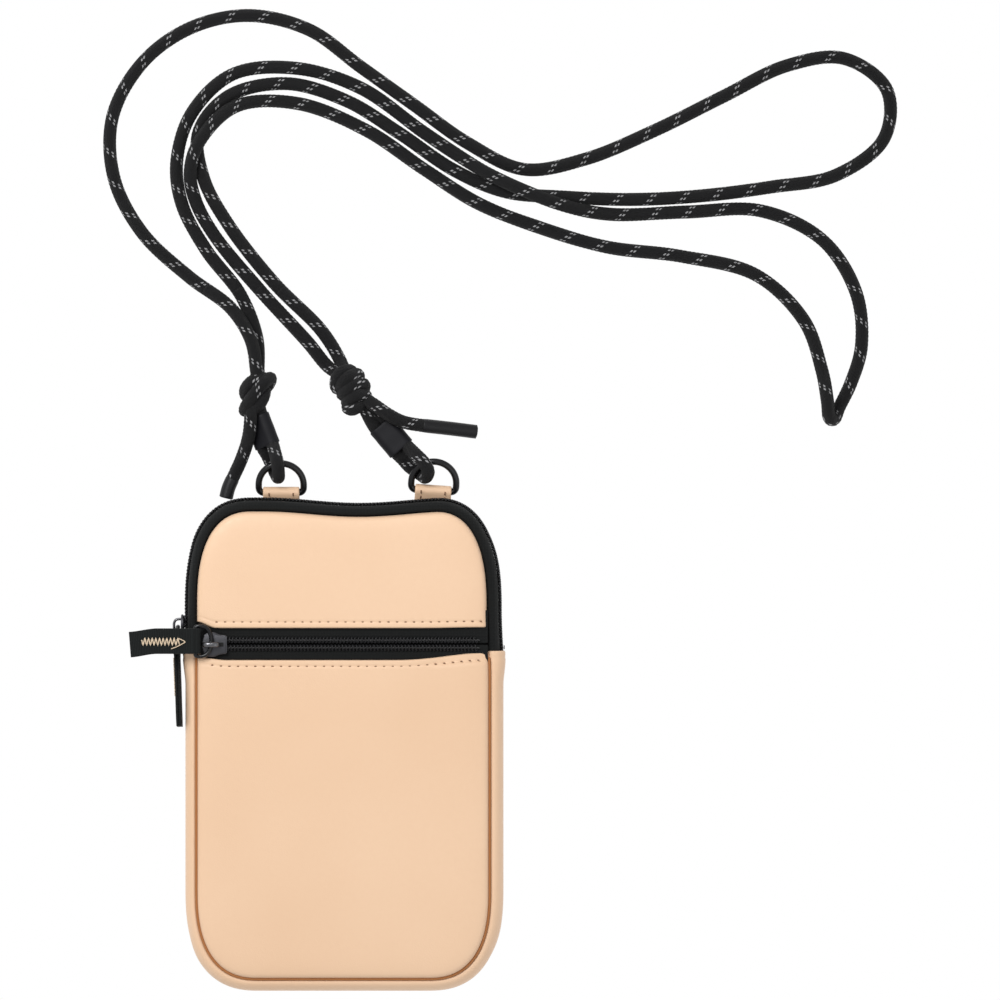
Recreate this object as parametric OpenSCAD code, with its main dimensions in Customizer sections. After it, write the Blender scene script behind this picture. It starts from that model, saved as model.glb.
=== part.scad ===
// Flat zip pouch with two adjustable neck cords.
// X runs across the pouch, Y up the pouch to the cords, Z out of its front. Z = 0 is the back face.

/* [Pouch] */
// Widest point of the pouch, across X
pouch_w = 118.8; // [117:0.2:120]
// Height of the pouch, along Y
pouch_h = 184; // [182:0.5:186]
// Sag of the top edge half way between its corners
top_dip = 2.2; // [0:0.1:3]
// Thickness of the back panel
back_t = 1.2; // [1:0.1:1.3]
// Thickness of a front leather panel
leather_t = 0.9; // [0.8:0.05:1]
// Height of the front face over the table
front_z = 19.4; // [19.2:0.1:19.5]
// Height at which the divider between the two compartments starts
divider_z = 12; // [11.5:0.1:12.2]

/* [Zips] */
// Height of the front zip's centre line, along Y
zip_y = 37.7; // [37:0.1:38.5]
// Free gap between the two front panels, along Y
zip_window = 11.6; // [11:0.2:12.4]
// Width of one side of the front zip, from its centre line
tape_w = 13; // [11:0.5:14]
// Thickness of a zip tape
tape_t = 0.5; // [0.4:0.05:0.6]
// Width of one row of zip teeth
coil_w = 2.2; // [2:0.1:2.4]
// Height of a row of zip teeth over its tape
coil_h = 1.3; // [1.1:0.1:1.4]
// Length of a zip slider
slider_l = 9.2; // [8.6:0.1:9.4]
// Width of a zip slider
slider_w = 8.6; // [8:0.1:9]

/* [Zip pulls] */
// Wire of a pull ring
pull_wire_d = 1.3; // [1.1:0.1:1.4]
// Long side of a pull ring, across the slider
pull_ring_l = 12.6; // [12:0.1:12.8]
// Distance between the two bars of a pull ring, wire centre to wire centre
pull_ring_reach = 5.9; // [5.6:0.1:6.2]
// Width of the webbing on a pull ring
webbing_w = 9.5; // [8.8:0.1:9.6]
// Length of the front pull's webbing
front_webbing_l = 26; // [20:0.5:28]
// Length of the side pull's webbing
side_webbing_l = 33; // [28:0.5:34]

/* [D-rings] */
// Wire of a D-ring
ring_wire_d = 2.5; // [2.2:0.1:2.6]
// Outer width of a D-ring
ring_w = 19.3; // [18.6:0.1:19.6]
// Distance from a D-ring's flat bar to the centre of its arc
ring_side = 3.25; // [3:0.05:3.5]
// Width of the leather tab that holds a D-ring
tab_w = 13.6; // [12.8:0.1:13.8]

/* [Cords] */
// Diameter of a cord
cord_d = 4.6; // [4.2:0.1:4.6]
// Diameter of the shrink tube on a cord's tail
tip_d = 5.2; // [5:0.1:5.4]
// Length of a keeper sleeve
keeper_l = 12; // [11:0.5:12.5]
// Width of a keeper sleeve, across its two strands
keeper_w = 10.7; // [10.5:0.1:11]

/* [Hidden] */

LEATHER = "#f5d3ae";
BLACK = "#232325";
CORD = "#19191b";
METAL = "#3f3f42";
THREAD = "#e6cfa8";

half_w = pouch_w / 2;
half_h = pouch_h / 2;
// Corner curves: each is a superellipse quarter with these half sizes and this exponent
top_corner = [26.2, 42];
top_power = 2.6;
bottom_corner = [28, 38];
bottom_power = 2.5;
arc_steps = 10;
// Where the leather gusset meets the main zip on each side
gusset_top = 34.5;
// Inset of the seam between the front panels and the wall, and of the back seam
seam_inset = 5.6;
back_inset = 5.6;
mid_z = 9.5;
clear = 0.3;

function quarter(size, power, a, inset) =
    [(size.x - inset) * pow(cos(a), 2 / power), (size.y - inset) * pow(sin(a), 2 / power)];

// The top edge sags about this X, over this distance either side of it
sag_x = 5;
sag_half = 28;

function top_sag(x) = abs(x - sag_x) < sag_half ? top_dip * pow(cos(90 * (x - sag_x) / sag_half), 2) : 0;

// The pouch outline over the height y0, from its left side over the top to its right side
function over_top(inset, y0) = concat(
    [[-half_w + inset, y0]],
    [for (i = [0:arc_steps])
        let (q = quarter(top_corner, top_power, 90 * i / arc_steps, inset))
        [-(half_w - top_corner.x) - q.x, half_h - top_corner.y + q.y]],
    [for (i = [-3:3]) let (x = sag_x + i * sag_half / 3) [x, half_h - inset - top_sag(x)]],
    [for (i = [arc_steps:-1:0])
        let (q = quarter(top_corner, top_power, 90 * i / arc_steps, inset))
        [half_w - top_corner.x + q.x, half_h - top_corner.y + q.y]],
    [[half_w - inset, y0]]);

// The pouch outline under the height y0, from its right side round the bottom to its left side
function under_bottom(inset, y0) = concat(
    [[half_w - inset, y0]],
    [for (i = [0:arc_steps])
        let (q = quarter(bottom_corner, bottom_power, 90 * i / arc_steps, inset))
        [half_w - bottom_corner.x + q.x, -(half_h - bottom_corner.y) - q.y]],
    [for (i = [arc_steps:-1:0])
        let (q = quarter(bottom_corner, bottom_power, 90 * i / arc_steps, inset))
        [-(half_w - bottom_corner.x) - q.x, -(half_h - bottom_corner.y) - q.y]],
    [[-half_w + inset, y0]]);

function whole_outline(inset) = concat(over_top(inset, gusset_top), under_bottom(inset, 0));

// A solid whose cross-sections are rings of the same number of points, closed at both ends
module skin(rings) {
    n = len(rings[0]);
    m = len(rings);
    points = [for (r = rings) each r];
    sides = [for (j = [0:m - 2]) for (i = [0:n - 1]) let (k = (i + 1) % n)
        each [[j * n + i, (j + 1) * n + i, (j + 1) * n + k], [j * n + i, (j + 1) * n + k, j * n + k]]];
    first = [[for (i = [0:n - 1]) i]];
    last = [[for (i = [n - 1:-1:0]) (m - 1) * n + i]];
    polyhedron(points, concat(first, sides, last), convexity = 10);
}

function raised(outline, z) = [for (p = outline) [p.x, p.y, z]];

// A wall that runs along part of the outline; profile is a list of [inset, z]
module wall(side, y0, profile) {
    path = [for (p = profile) side == "top" ? over_top(p[0], y0) : under_bottom(p[0], y0)];
    skin([for (i = [0:len(path[0]) - 1])
        [for (j = [0:len(profile) - 1]) [path[j][i].x, path[j][i].y, profile[j][1]]]]);
}

// ---- Soft shell of the pouch ----

module back_panel() {
    color(LEATHER) linear_extrude(back_t) polygon(whole_outline(back_inset + 0.1));
}

module pocket_divider() {
    color(BLACK) translate([0, 0, divider_z]) linear_extrude(0.5) polygon(whole_outline(5));
}

// The front face: it rises from the seam and is flat in the middle
face_profile = [[seam_inset + 0.1, 16.6], [6.3, 17.9], [7.6, 18.7], [10, 19.2], [14, front_z]];

module front_panel(side, y0) {
    last = len(face_profile) - 1;
    outlines = [for (p = face_profile) side == "top" ? over_top(p[0], y0) : under_bottom(p[0], y0)];
    rings = [for (i = [last:-1:0]) raised(outlines[i], face_profile[i][1])];
    fold_y = side == "top" ? y0 + leather_t + half_h : y0 - leather_t - half_h;
    color(LEATHER) difference() {
        skin(concat(rings, [raised(outlines[0], 15.9)]));
        translate([0, 0, -leather_t]) intersection() {
            skin(concat(rings, [raised(outlines[0], 10)]));
            translate([0, fold_y, 15]) cube([200, 2 * half_h, 30], center = true);
        }
        // The folded edge stops just over the zip tape
        translate([0, y0, tape_z + tape_t + 0.1 - 5]) cube([2 * half_w, 2.6, 10], center = true);
    }
}

module front_upper_panel() { front_panel("top", zip_y + zip_window / 2); }

module front_lower_panel() { front_panel("bottom", zip_y - zip_window / 2); }

// The leather wall round the lower half, thicker at its two folded ends
gusset_profile = [[5.6, 1.3], [3.2, 2.2], [1.2, 4.8], [0.25, 7.4], [0, mid_z], [0.25, 11.6],
    [1.2, 14], [3.2, 15.6], [5.5, 16.3], [5.5, 15.2], [3.6, 14.6], [2.2, 13.4], [1.3, 11.4],
    [1.1, mid_z], [1.3, 7.6], [2.2, 5.4], [3.6, 3.4], [5.6, 2.3]];
fold_profile = [[3, 2.6], [0.4, 4.8], [-0.4, 7.4], [-0.6, mid_z], [-0.4, 11.6], [0.4, 14], [3, 15.6],
    [4.2, 15], [2, 13], [1.2, 11.4], [1, mid_z], [1.2, 7.6], [2, 5.4], [4.2, 3.4]];

module gusset_fold(dir) {
    fold_l = 7;
    at = [for (p = fold_profile) [dir * (half_w - p[0]), p[1]]];
    narrow = [for (p = fold_profile) [dir * (half_w - max(p[0], 0.2) - 0.1), p[1]]];
    ring_a = [for (p = at) [p.x, gusset_top, p.y]];
    ring_b = [for (p = narrow) [p.x, gusset_top - fold_l, p.y]];
    skin(dir > 0 ? [ring_a, ring_b] : [ring_b, ring_a]);
}

module lower_gusset() {
    color(LEATHER) {
        wall("bottom", gusset_top, gusset_profile);
        for (dir = [-1, 1]) gusset_fold(dir);
    }
}

// ---- Main zip, in the wall round the upper half ----

main_zip_y = gusset_top + 0.2;
rear_tape_profile = [[5.6, 1.3], [3.2, 2.2], [1.5, 4.8], [0.9, 7], [0.8, mid_z - 0.4],
    [0.8 + tape_t, mid_z - 0.4], [0.9 + tape_t, 7], [1.6 + tape_t, 5], [3.4 + tape_t, 2.8], [5.6, 1.9]];
front_tape_profile = [[0.8, mid_z + 0.4], [0.9, 12], [1.5, 14], [3.2, 15.6], [5.5, 16.3],
    [5.5, 15.7], [3.4 + tape_t, 15], [1.6 + tape_t, 13.8], [0.9 + tape_t, 12], [0.8 + tape_t, mid_z + 0.4]];

function coil_profile(lo, hi) =
    [[0.75, lo], [0.25, lo + 0.1], [0, (lo + hi) / 2], [0.25, hi - 0.1], [0.75, hi]];

module main_zip_front_tape() { color(BLACK) wall("top", main_zip_y, front_tape_profile); }

module main_zip_rear_tape() { color(BLACK) wall("top", main_zip_y, rear_tape_profile); }

module main_zip_front_coil() {
    color(CORD) wall("top", main_zip_y, coil_profile(mid_z + 0.45, mid_z + 0.45 + coil_w));
}

module main_zip_rear_coil() {
    color(CORD) wall("top", main_zip_y, coil_profile(mid_z - 0.45 - coil_w, mid_z - 0.45));
}

// A staple at each end of the main zip, outside the teeth
module main_zip_stops() {
    color(METAL) for (dir = [-1, 1])
        translate([dir * (half_w + 0.25), gusset_top + 1.7, mid_z]) cube([0.4, 1.4, 5], center = true);
}

// ---- Front zip ----

tape_z = 16.9;
tape_half = 51.6;
tape_end = half_w - seam_inset - 0.3;
coil_y = 0.45;
coil_top = tape_z + tape_t + coil_h;

// The tape dips into the side seams at both ends
module zip_strip(z0, z1, y0, y1) {
    side = [[tape_half, 0], [tape_end - 0.7, -0.3], [tape_end, -1.7]];
    top = [for (p = side) [p.x, z1 + p.y]];
    low = [for (i = [2:-1:0]) [side[i].x, z0 + side[i].y]];
    right = concat(top, low);
    outline = concat(right, [for (i = [len(right) - 1:-1:0]) [-right[i].x, right[i].y]]);
    translate([0, y1, 0]) rotate([90, 0, 0]) linear_extrude(y1 - y0) polygon(outline);
}

module front_zip_tape(dir) {
    inner = zip_y + dir * coil_y;
    outer = zip_y + dir * tape_w;
    color(BLACK) zip_strip(tape_z, tape_z + tape_t, min(inner, outer), max(inner, outer));
}

module front_zip_coil(dir) {
    row_l = 2 * tape_half - 1.4;
    color(CORD) translate([-row_l / 2, zip_y + dir * (coil_y + coil_w / 2), tape_z + tape_t])
        rotate([90, 0, 90]) linear_extrude(row_l)
            polygon([[-coil_w / 2, 0], [coil_w / 2, 0], [coil_w / 2, coil_h * 0.5], [coil_w / 4, coil_h],
                [-coil_w / 4, coil_h], [-coil_w / 2, coil_h * 0.5]]);
}

module front_zip_upper_tape() { front_zip_tape(1); }

module front_zip_lower_tape() { front_zip_tape(-1); }

module front_zip_upper_coil() { front_zip_coil(1); }

module front_zip_lower_coil() { front_zip_coil(-1); }

// Two rows of stitches, one beside each side of the front zip
module front_topstitch() {
    pitch = 3.3;
    count = 29;
    row = zip_window / 2 + 2.4;
    color(THREAD) for (dir = [-1, 1]) for (i = [0:count - 1])
        translate([(i - (count - 1) / 2) * pitch, zip_y + dir * row, front_z + 0.2])
            cube([2.1, 0.5, 0.3], center = true);
}

// ---- Sliders and pulls, drawn along +X with the nose at -X ----

// The body of a slider: z = 0 is the middle of the teeth, and gap the space between its plates
module slider(gap, over, lower_w) {
    plate_t = 0.8;
    nose_l = slider_l * 0.55;
    tail_w = slider_w * 0.74;
    outline = [[-slider_l / 2, -slider_w * 0.3], [-slider_l / 2 + 1.2, -slider_w / 2],
        [-slider_l / 2 + nose_l, -slider_w / 2], [slider_l / 2, -tail_w / 2], [slider_l / 2, tail_w / 2],
        [-slider_l / 2 + nose_l, slider_w / 2], [-slider_l / 2 + 1.2, slider_w / 2],
        [-slider_l / 2, slider_w * 0.3]];
    translate([0, 0, over]) linear_extrude(plate_t) polygon(outline);
    translate([0, 0, over - gap - plate_t]) linear_extrude(plate_t)
        polygon([for (p = outline) [p.x * 0.9, p.y * lower_w / slider_w]]);
    translate([-slider_l / 2 + 1.6, 0, over - gap / 2]) cube([1.8, 0.5, gap + 0.4], center = true);
}

// The bridge over the top plate that holds a pull ring
bridge_l = 5.6;
bridge_w = 1.8;
bridge_h = 2.6;

module bridge(base) {
    post = 1.3;
    for (x = [-bridge_l / 2 + post / 2, bridge_l / 2 - post / 2])
        translate([x, 0, base + bridge_h / 2 - 0.1]) cube([post, bridge_w, bridge_h + 0.2], center = true);
    translate([0, 0, base + bridge_h - 0.35]) cube([bridge_l, bridge_w, 0.7], center = true);
}

// A ring of round wire in the XY plane: one bar on the Y axis, the other at -pull_ring_reach
module pull_ring() {
    half_l = (pull_ring_l - pull_wire_d) / 2;
    r = 1.3;
    color(METAL) translate([-pull_ring_reach / 2, 0, 0]) {
        for (sx = [-1, 1]) {
            translate([sx * pull_ring_reach / 2, 0, 0]) rotate([90, 0, 0])
                cylinder(d = pull_wire_d, h = 2 * (half_l - r), center = true, $fn = 32);
            translate([0, sx * half_l, 0]) rotate([0, 90, 0])
                cylinder(d = pull_wire_d, h = pull_ring_reach - 2 * r, center = true, $fn = 32);
        }
        for (a = [0:90:270]) {
            sx = (a == 0 || a == 270) ? 1 : -1;
            sy = (a < 180) ? 1 : -1;
            translate([sx * (pull_ring_reach / 2 - r), sy * (half_l - r), 0]) rotate([0, 0, a])
                rotate_extrude(angle = 90, $fn = 48) translate([r, 0]) circle(d = pull_wire_d, $fn = 32);
        }
    }
}

// Webbing folded round the far bar of a pull ring, running on along -X for length l
webbing_t = 2.2;
webbing_eye = 3.3;

module pull_webbing(l) {
    bore_d = pull_wire_d + 0.16;
    color(BLACK) translate([-pull_ring_reach, 0, 0]) rotate([90, 0, 0])
        linear_extrude(webbing_w, center = true) difference() {
            union() {
                circle(d = webbing_eye, $fn = 48);
                translate([-l + webbing_eye / 2, -webbing_t / 2]) square([l - webbing_eye / 2, webbing_t]);
            }
            circle(d = bore_d, $fn = 48);
        }
}

// Zigzag stitching across both layers of a pull's webbing, on its front face
module pull_bartack(l) {
    count = 17;
    step = 0.88;
    tack_h = 3;
    start = -pull_ring_reach - 5.8;
    color(THREAD) for (i = [0:count - 1]) {
        lean = (i % 2 == 0) ? 18 : -18;
        translate([start - (i + 0.5) * step, 0, webbing_t / 2 + 0.15]) rotate([0, 0, lean])
            cube([0.4, tack_h, 0.3], center = true);
    }
}

// ---- Front pull, at rest at the left end of the front zip ----

front_slider_x = -48.1;
front_bridge_x = -49.3;
front_pull_z = coil_top + clear + 0.8 + bridge_h / 2 - 0.1;

module at_front_pull() { translate([front_bridge_x, zip_y + 1.1, front_pull_z]) children(); }

module front_zip_slider() {
    color(METAL) translate([front_slider_x, zip_y, 0]) {
        slider_gap = coil_top + clear - (tape_z - clear);
        translate([0, 0, coil_top + clear]) slider(slider_gap, 0, slider_w);
        translate([front_bridge_x - front_slider_x, -0.2, coil_top + clear + 0.8]) bridge(0);
    }
}

module front_pull_ring() { at_front_pull() pull_ring(); }

module front_pull_webbing() { at_front_pull() pull_webbing(front_webbing_l); }

module front_pull_bartack() { at_front_pull() pull_bartack(front_webbing_l); }

// ---- Main pull, on the left wall: the slider's own frame turned so that +Z faces -X ----

main_slider_y = 44;
// The ring leans out from the wall and its webbing leans back in, in degrees
main_ring_out = 4.4;
main_webbing_in = 2;
main_pull_x = -half_w - 0.8 - 0.8 - bridge_h / 2 + 0.1;

// Local +X runs up the wall and local +Z points out of it, so a pull drawn along -X hangs towards -Y
module on_left_wall(x, out) {
    translate([x, main_slider_y, mid_z]) rotate([0, 0, -out]) rotate([0, -90, 0])
        rotate([0, 0, 90]) children();
}

module main_zip_slider() {
    color(METAL) {
        on_left_wall(-half_w - 0.8, 0) mirror([1, 0, 0]) {
            slider(3.1, 0, 3.6);
            translate([0, 0, 0.8]) bridge(0);
        }
    }
}

module at_main_webbing() {
    on_left_wall(main_pull_x, main_ring_out) translate([-pull_ring_reach, 0, 0])
        rotate([0, -main_ring_out - main_webbing_in, 0]) translate([pull_ring_reach, 0, 0]) children();
}

module main_pull_ring() { on_left_wall(main_pull_x, main_ring_out) pull_ring(); }

module main_pull_webbing() { at_main_webbing() pull_webbing(side_webbing_l); }

module main_pull_bartack() { at_main_webbing() pull_bartack(side_webbing_l); }

// ---- D-rings and their tabs ----

// Each ring: centre of its bar, turn about Z; both lean up off the table by the same angle
left_bar = [-23.8, 94, 3.6];
right_bar = [33.1, 94.7, 3.6];
right_turn = -4;
ring_lean = 20;

module at_bar(bar, turn) { translate(bar) rotate([0, 0, turn]) children(); }

module d_ring() {
    arc_r = (ring_w - ring_wire_d) / 2;
    bend = 2;
    bar_l = 2 * (arc_r - bend);
    color(BLACK) rotate([ring_lean, 0, 0]) {
        rotate([0, 90, 0]) cylinder(d = ring_wire_d, h = bar_l, center = true, $fn = 48);
        translate([0, ring_side, 0]) rotate_extrude(angle = 180, $fn = 96)
            translate([arc_r, 0]) circle(d = ring_wire_d, $fn = 48);
        for (sx = [-1, 1]) {
            translate([sx * arc_r, (bend + ring_side) / 2, 0]) rotate([90, 0, 0])
                cylinder(d = ring_wire_d, h = ring_side - bend, center = true, $fn = 48);
            translate([sx * (arc_r - bend), bend, 0]) rotate([0, 0, sx > 0 ? -90 : 180])
                rotate_extrude(angle = 90, $fn = 96) translate([bend, 0]) circle(d = ring_wire_d, $fn = 48);
        }
    }
}

module left_d_ring() { at_bar(left_bar, 0) d_ring(); }

module right_d_ring() { at_bar(right_bar, right_turn) d_ring(); }

// A leather strip folded round the bar; its two ends run back under the wall into the back seam
module ring_tab(bar) {
    wrap_r = 2.3;
    seam = 86.2 - bar.y;
    bore_r = ring_wire_d / 2 + 0.08;
    color(LEATHER) rotate([90, 0, 90]) linear_extrude(tab_w, center = true) difference() {
        polygon(concat([for (a = [-90:6:138]) wrap_r * [cos(a), sin(a)]],
            [[seam + 4.1, 3.4 - bar.z], [seam + 2.8, 2 - bar.z], [seam + 0.6, 1.1 - bar.z],
                [seam + 0.6, 0.25 - bar.z], [-1.6, -wrap_r - 0.5]]));
        circle(r = bore_r, $fn = 64);
    }
}

module left_ring_tab() { at_bar(left_bar, 0) ring_tab(left_bar); }

module right_ring_tab() { at_bar(right_bar, right_turn) ring_tab(right_bar); }

// Two stitches down each side of both tabs, as [y, z, tilt] from the bar
tab_stitch_at = [[-0.65, 2.42, 15], [-2.67, 1.3, 32]];

module tab_stitches() {
    inset = 2.3;
    color(THREAD) for (bar = [left_bar, right_bar]) for (sx = [-1, 1]) for (at = tab_stitch_at)
        at_bar(bar, bar == left_bar ? 0 : right_turn)
            translate([sx * (tab_w / 2 - inset), at[0], at[1]]) rotate([at[2], 0, 0])
                cube([0.5, 1, 0.3], center = true);
}

// ---- Cords ----

// Route points of each cord, along its centre line
cord_a_route = [[-33, 139.9, 7.8], [-35, 151, 7.8], [-42.5, 163, 5.6], [-58.5, 175, 2.5], [-76, 191.5, 2.5],
    [-86.5, 212, 2.5], [-87, 235, 2.5], [-75.5, 255.5, 2.5], [-57.5, 268.3, 2.5], [-36, 272.8, 2.5],
    [-13.5, 267.5, 2.5], [6, 253.5, 2.5], [26, 239.2, 2.5], [46, 225, 2.5], [67, 215.2, 2.5],
    [90, 219, 2.5], [116, 229.7, 2.5], [142, 242.6, 2.5], [165.5, 254, 2.5], [187, 256.7, 2.5],
    [203, 245, 2.5], [202, 226.8, 2.5], [184, 213, 2.5], [160, 208.6, 2.5], [134, 205.3, 2.5],
    [108, 203.9, 2.5], [82, 204.8, 2.5], [60, 206.8, 2.5], [41, 214.8, 2.5], [20, 229, 2.5],
    [0.5, 240.9, 2.5], [-22, 247.3, 2.5], [-43.5, 242.6, 2.5], [-54.8, 229, 2.5], [-53, 212, 2.5],
    [-44, 195, 2.5], [-26.5, 172.6, 2.5], [-9, 155, 2.5], [-2, 144, 2.5]];
cord_b_route = [[-32.5, 139.9, 2.5], [-33, 152, 2.5], [-39, 168, 2.5], [-52, 185, 2.5], [-61, 202, 2.5],
    [-63, 218, 2.5], [-57.5, 236, 2.5], [-42, 250.8, 2.5], [-18, 253, 2.5], [6, 245.6, 2.5], [29, 229.4, 2.5],
    [42, 220.6, 3.6], [54, 213.2, 6.6], [68, 206.6, 7.8], [84, 200.9, 6.2], [100, 198.3, 2.6],
    [128, 199.2, 2.5], [156, 199.6, 2.5], [179, 188.6, 2.5], [191.5, 169, 2.5], [193.5, 149, 2.5],
    [189.5, 135, 2.5], [185.2, 126, 2.6], [183.2, 121.6, 5], [181.2, 122, 8.4], [180.5, 128, 9],
    [178.5, 140, 5.6], [172, 158.5, 2.6], [154, 175.6, 2.5], [126, 182.6, 2.5], [98, 186.1, 2.5],
    [72, 193.7, 2.5], [50, 202.4, 2.5], [30, 215, 2.5], [8, 229.8, 2.5], [-18, 239.9, 2.5], [-41, 238.6, 4.8],
    [-54.5, 225, 7.8], [-57.8, 214, 6], [-56, 203.5, 2.6], [-49, 190.6, 2.5], [-31.5, 169.5, 2.5],
    [-14, 150.5, 2.5], [-6, 141, 2.5]];
left_loop_route = [[-31.3, 123.4, 5.8], [-29.2, 117.8, 5.8], [-27, 112.2, 6.4], [-25.9, 108.6, 9.6],
    [-25, 105.4, 11.5], [-24.7, 102.2, 10.9], [-24.7, 100.2, 8.6], [-25, 99.8, 6], [-25.8, 101, 3.4],
    [-27.3, 104.2, 2.35], [-29.4, 108.6, 2.4], [-30.7, 110.8, 3], [-32.8, 116.4, 3], [-34.7, 121.3, 3]];
right_loop_route = [[14.7, 121.8, 5.2], [19.2, 116.4, 5.2], [23.1, 111.8, 5.8], [26.4, 108.6, 9.2],
    [29.4, 105.6, 11.3], [31, 103, 11], [31.2, 101.2, 8.8], [30.2, 99.8, 6.2], [28.9, 100.5, 3.4],
    [27.2, 101.7, 2.35], [24.4, 103.6, 2.35], [21.8, 106.4, 2.6], [19.4, 108.8, 4.4], [15.6, 113.4, 5.2],
    [11.1, 118.7, 5.2]];
left_tail_route = [[-34.9, 124.3, 9.2], [-35.1, 121.5, 9], [-35.6, 116.6, 8], [-36.9, 111.6, 5.2],
    [-39.2, 105.5, 2.7], [-42, 99.5, 2.5]];
left_tip_route = [[-42, 99.5, 2.7], [-43.6, 95.8, 2.7], [-44.6, 91.9, 2.7]];
right_tail_route = [[10.6, 127.2, 8.6], [16.1, 123.4, 10.2], [21.6, 120.6, 9], [28.8, 119.2, 6.8]];
right_tip_route = [[28.8, 119.2, 6.8], [39, 118.1, 4.4], [49.5, 116.8, 2.75]];

function unit(v) = v / norm(v);

function tangent(p, i) = unit(p[min(i + 1, len(p) - 1)] - p[max(i - 1, 0)]);

// A round tube along the points of route
module tube(route, d, sides = 8) {
    skin([for (i = [0:len(route) - 1])
        let (t = tangent(route, i), u = unit(cross(t, [0.03, 0.02, 1])), v = cross(t, u))
        [for (k = [0:sides - 1]) let (a = 360 * k / sides) route[i] + (u * cos(a) + v * sin(a)) * d / 2]]);
}

module cord_a_run() { color(CORD) tube(cord_a_route, cord_d); }

module cord_b_run() { color(CORD) tube(cord_b_route, cord_d); }

module left_cord_loop() { color(CORD) tube(left_loop_route, cord_d); }

module right_cord_loop() { color(CORD) tube(right_loop_route, cord_d); }

module left_cord_tail() { color(CORD) tube(left_tail_route, cord_d); }

module right_cord_tail() { color(CORD) tube(right_tail_route, cord_d); }

module left_cord_tip() { color(BLACK) tube(left_tip_route, tip_d, 12); }

module right_cord_tip() { color(BLACK) tube(right_tip_route, tip_d, 12); }

// A flat sleeve over two strands: its long way lies along Z before it is placed
module keeper() {
    thick = 5.9;
    flat = keeper_w - thick;
    bore = 4.9;
    color(BLACK) linear_extrude(keeper_l, center = true) difference() {
        union() {
            square([flat, thick], center = true);
            for (sx = [-1, 1]) translate([sx * flat / 2, 0]) circle(d = thick, $fn = 48);
        }
        square([flat, bore], center = true);
        for (sx = [-1, 1]) translate([sx * flat / 2, 0]) circle(d = bore, $fn = 48);
    }
}

// Turned about Z by turn and rolled about its own length by roll
module at_keeper(middle, turn, roll) {
    translate(middle) rotate([0, 0, turn]) rotate([90, 0, 0]) rotate([0, 0, roll]) keeper();
}

module left_keeper() { at_keeper([-31, 117.1, 4.4], 21, 35); }

module right_keeper() { at_keeper([17.4, 114.9, 5.2], 40, 0); }

// A tied knot as one rounded lump round a few balls, each [centre, radius]
module knot(balls) {
    color(CORD) hull() for (ball = balls) translate(ball[0]) sphere(r = ball[1], $fn = 24);
}

module left_knot() { knot([[[-34, 132, 6.2], 5.6], [[-28.9, 136, 6], 3.6], [[-36.6, 125, 9.2], 2.9]]); }

module right_knot() { knot([[[0.2, 136.4, 6.4], 5.9], [[4.5, 130.7, 6.2], 5.8], [[3.2, 125.5, 9], 3]]); }

back_panel();
pocket_divider();
front_upper_panel();
front_lower_panel();
lower_gusset();
main_zip_front_tape();
main_zip_rear_tape();
main_zip_front_coil();
main_zip_rear_coil();
main_zip_stops();
front_zip_upper_tape();
front_zip_lower_tape();
front_zip_upper_coil();
front_zip_lower_coil();
front_topstitch();
left_ring_tab();
right_ring_tab();
tab_stitches();
left_d_ring();
right_d_ring();
front_zip_slider();
front_pull_ring();
front_pull_webbing();
front_pull_bartack();
main_zip_slider();
main_pull_ring();
main_pull_webbing();
main_pull_bartack();
left_cord_loop();
left_keeper();
right_cord_loop();
right_keeper();
left_knot();
right_knot();
cord_a_run();
cord_b_run();
left_cord_tail();
left_cord_tip();
right_cord_tail();
right_cord_tip();
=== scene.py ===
import math

import bmesh
import bpy
import numpy as np
from mathutils import Matrix, Vector


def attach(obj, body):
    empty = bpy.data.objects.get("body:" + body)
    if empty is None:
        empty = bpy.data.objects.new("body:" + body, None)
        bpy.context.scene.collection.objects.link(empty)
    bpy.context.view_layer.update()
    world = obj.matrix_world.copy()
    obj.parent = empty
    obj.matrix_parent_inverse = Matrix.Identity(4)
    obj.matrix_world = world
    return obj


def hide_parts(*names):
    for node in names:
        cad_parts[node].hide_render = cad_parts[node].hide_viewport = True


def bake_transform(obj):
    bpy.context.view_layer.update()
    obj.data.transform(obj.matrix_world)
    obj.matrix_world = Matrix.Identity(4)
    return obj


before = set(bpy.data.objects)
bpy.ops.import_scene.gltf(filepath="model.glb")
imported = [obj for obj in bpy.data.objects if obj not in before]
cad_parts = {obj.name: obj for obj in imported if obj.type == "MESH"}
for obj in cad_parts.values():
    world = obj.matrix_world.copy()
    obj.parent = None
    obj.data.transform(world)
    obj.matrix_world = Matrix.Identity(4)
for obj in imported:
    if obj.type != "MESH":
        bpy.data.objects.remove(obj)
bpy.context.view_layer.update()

MM = 0.001


# ---------------------------------------------------------------- camera, light and floor

VIEW_CENTRE = (0.0581, 0.0913)
VIEW_WIDTH = 0.375
LENS = 250.0
SENSOR = 36.0


def make_camera():
    data = bpy.data.cameras.new("camera")
    data.lens = LENS
    data.sensor_width = SENSOR
    data.clip_end = 20.0
    camera = bpy.data.objects.new("camera", data)
    camera.location = (*VIEW_CENTRE, VIEW_WIDTH * LENS / SENSOR)
    bpy.context.scene.collection.objects.link(camera)
    bpy.context.scene.camera = camera


def area_light(name, location, target, size, power):
    data = bpy.data.lights.new(name, "AREA")
    data.shape = "DISK"
    data.size = size
    data.energy = power
    light = bpy.data.objects.new(name, data)
    light.location = location
    toward = Vector(target) - Vector(location)
    light.rotation_euler = toward.to_track_quat("-Z", "Y").to_euler()
    bpy.context.scene.collection.objects.link(light)


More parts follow.
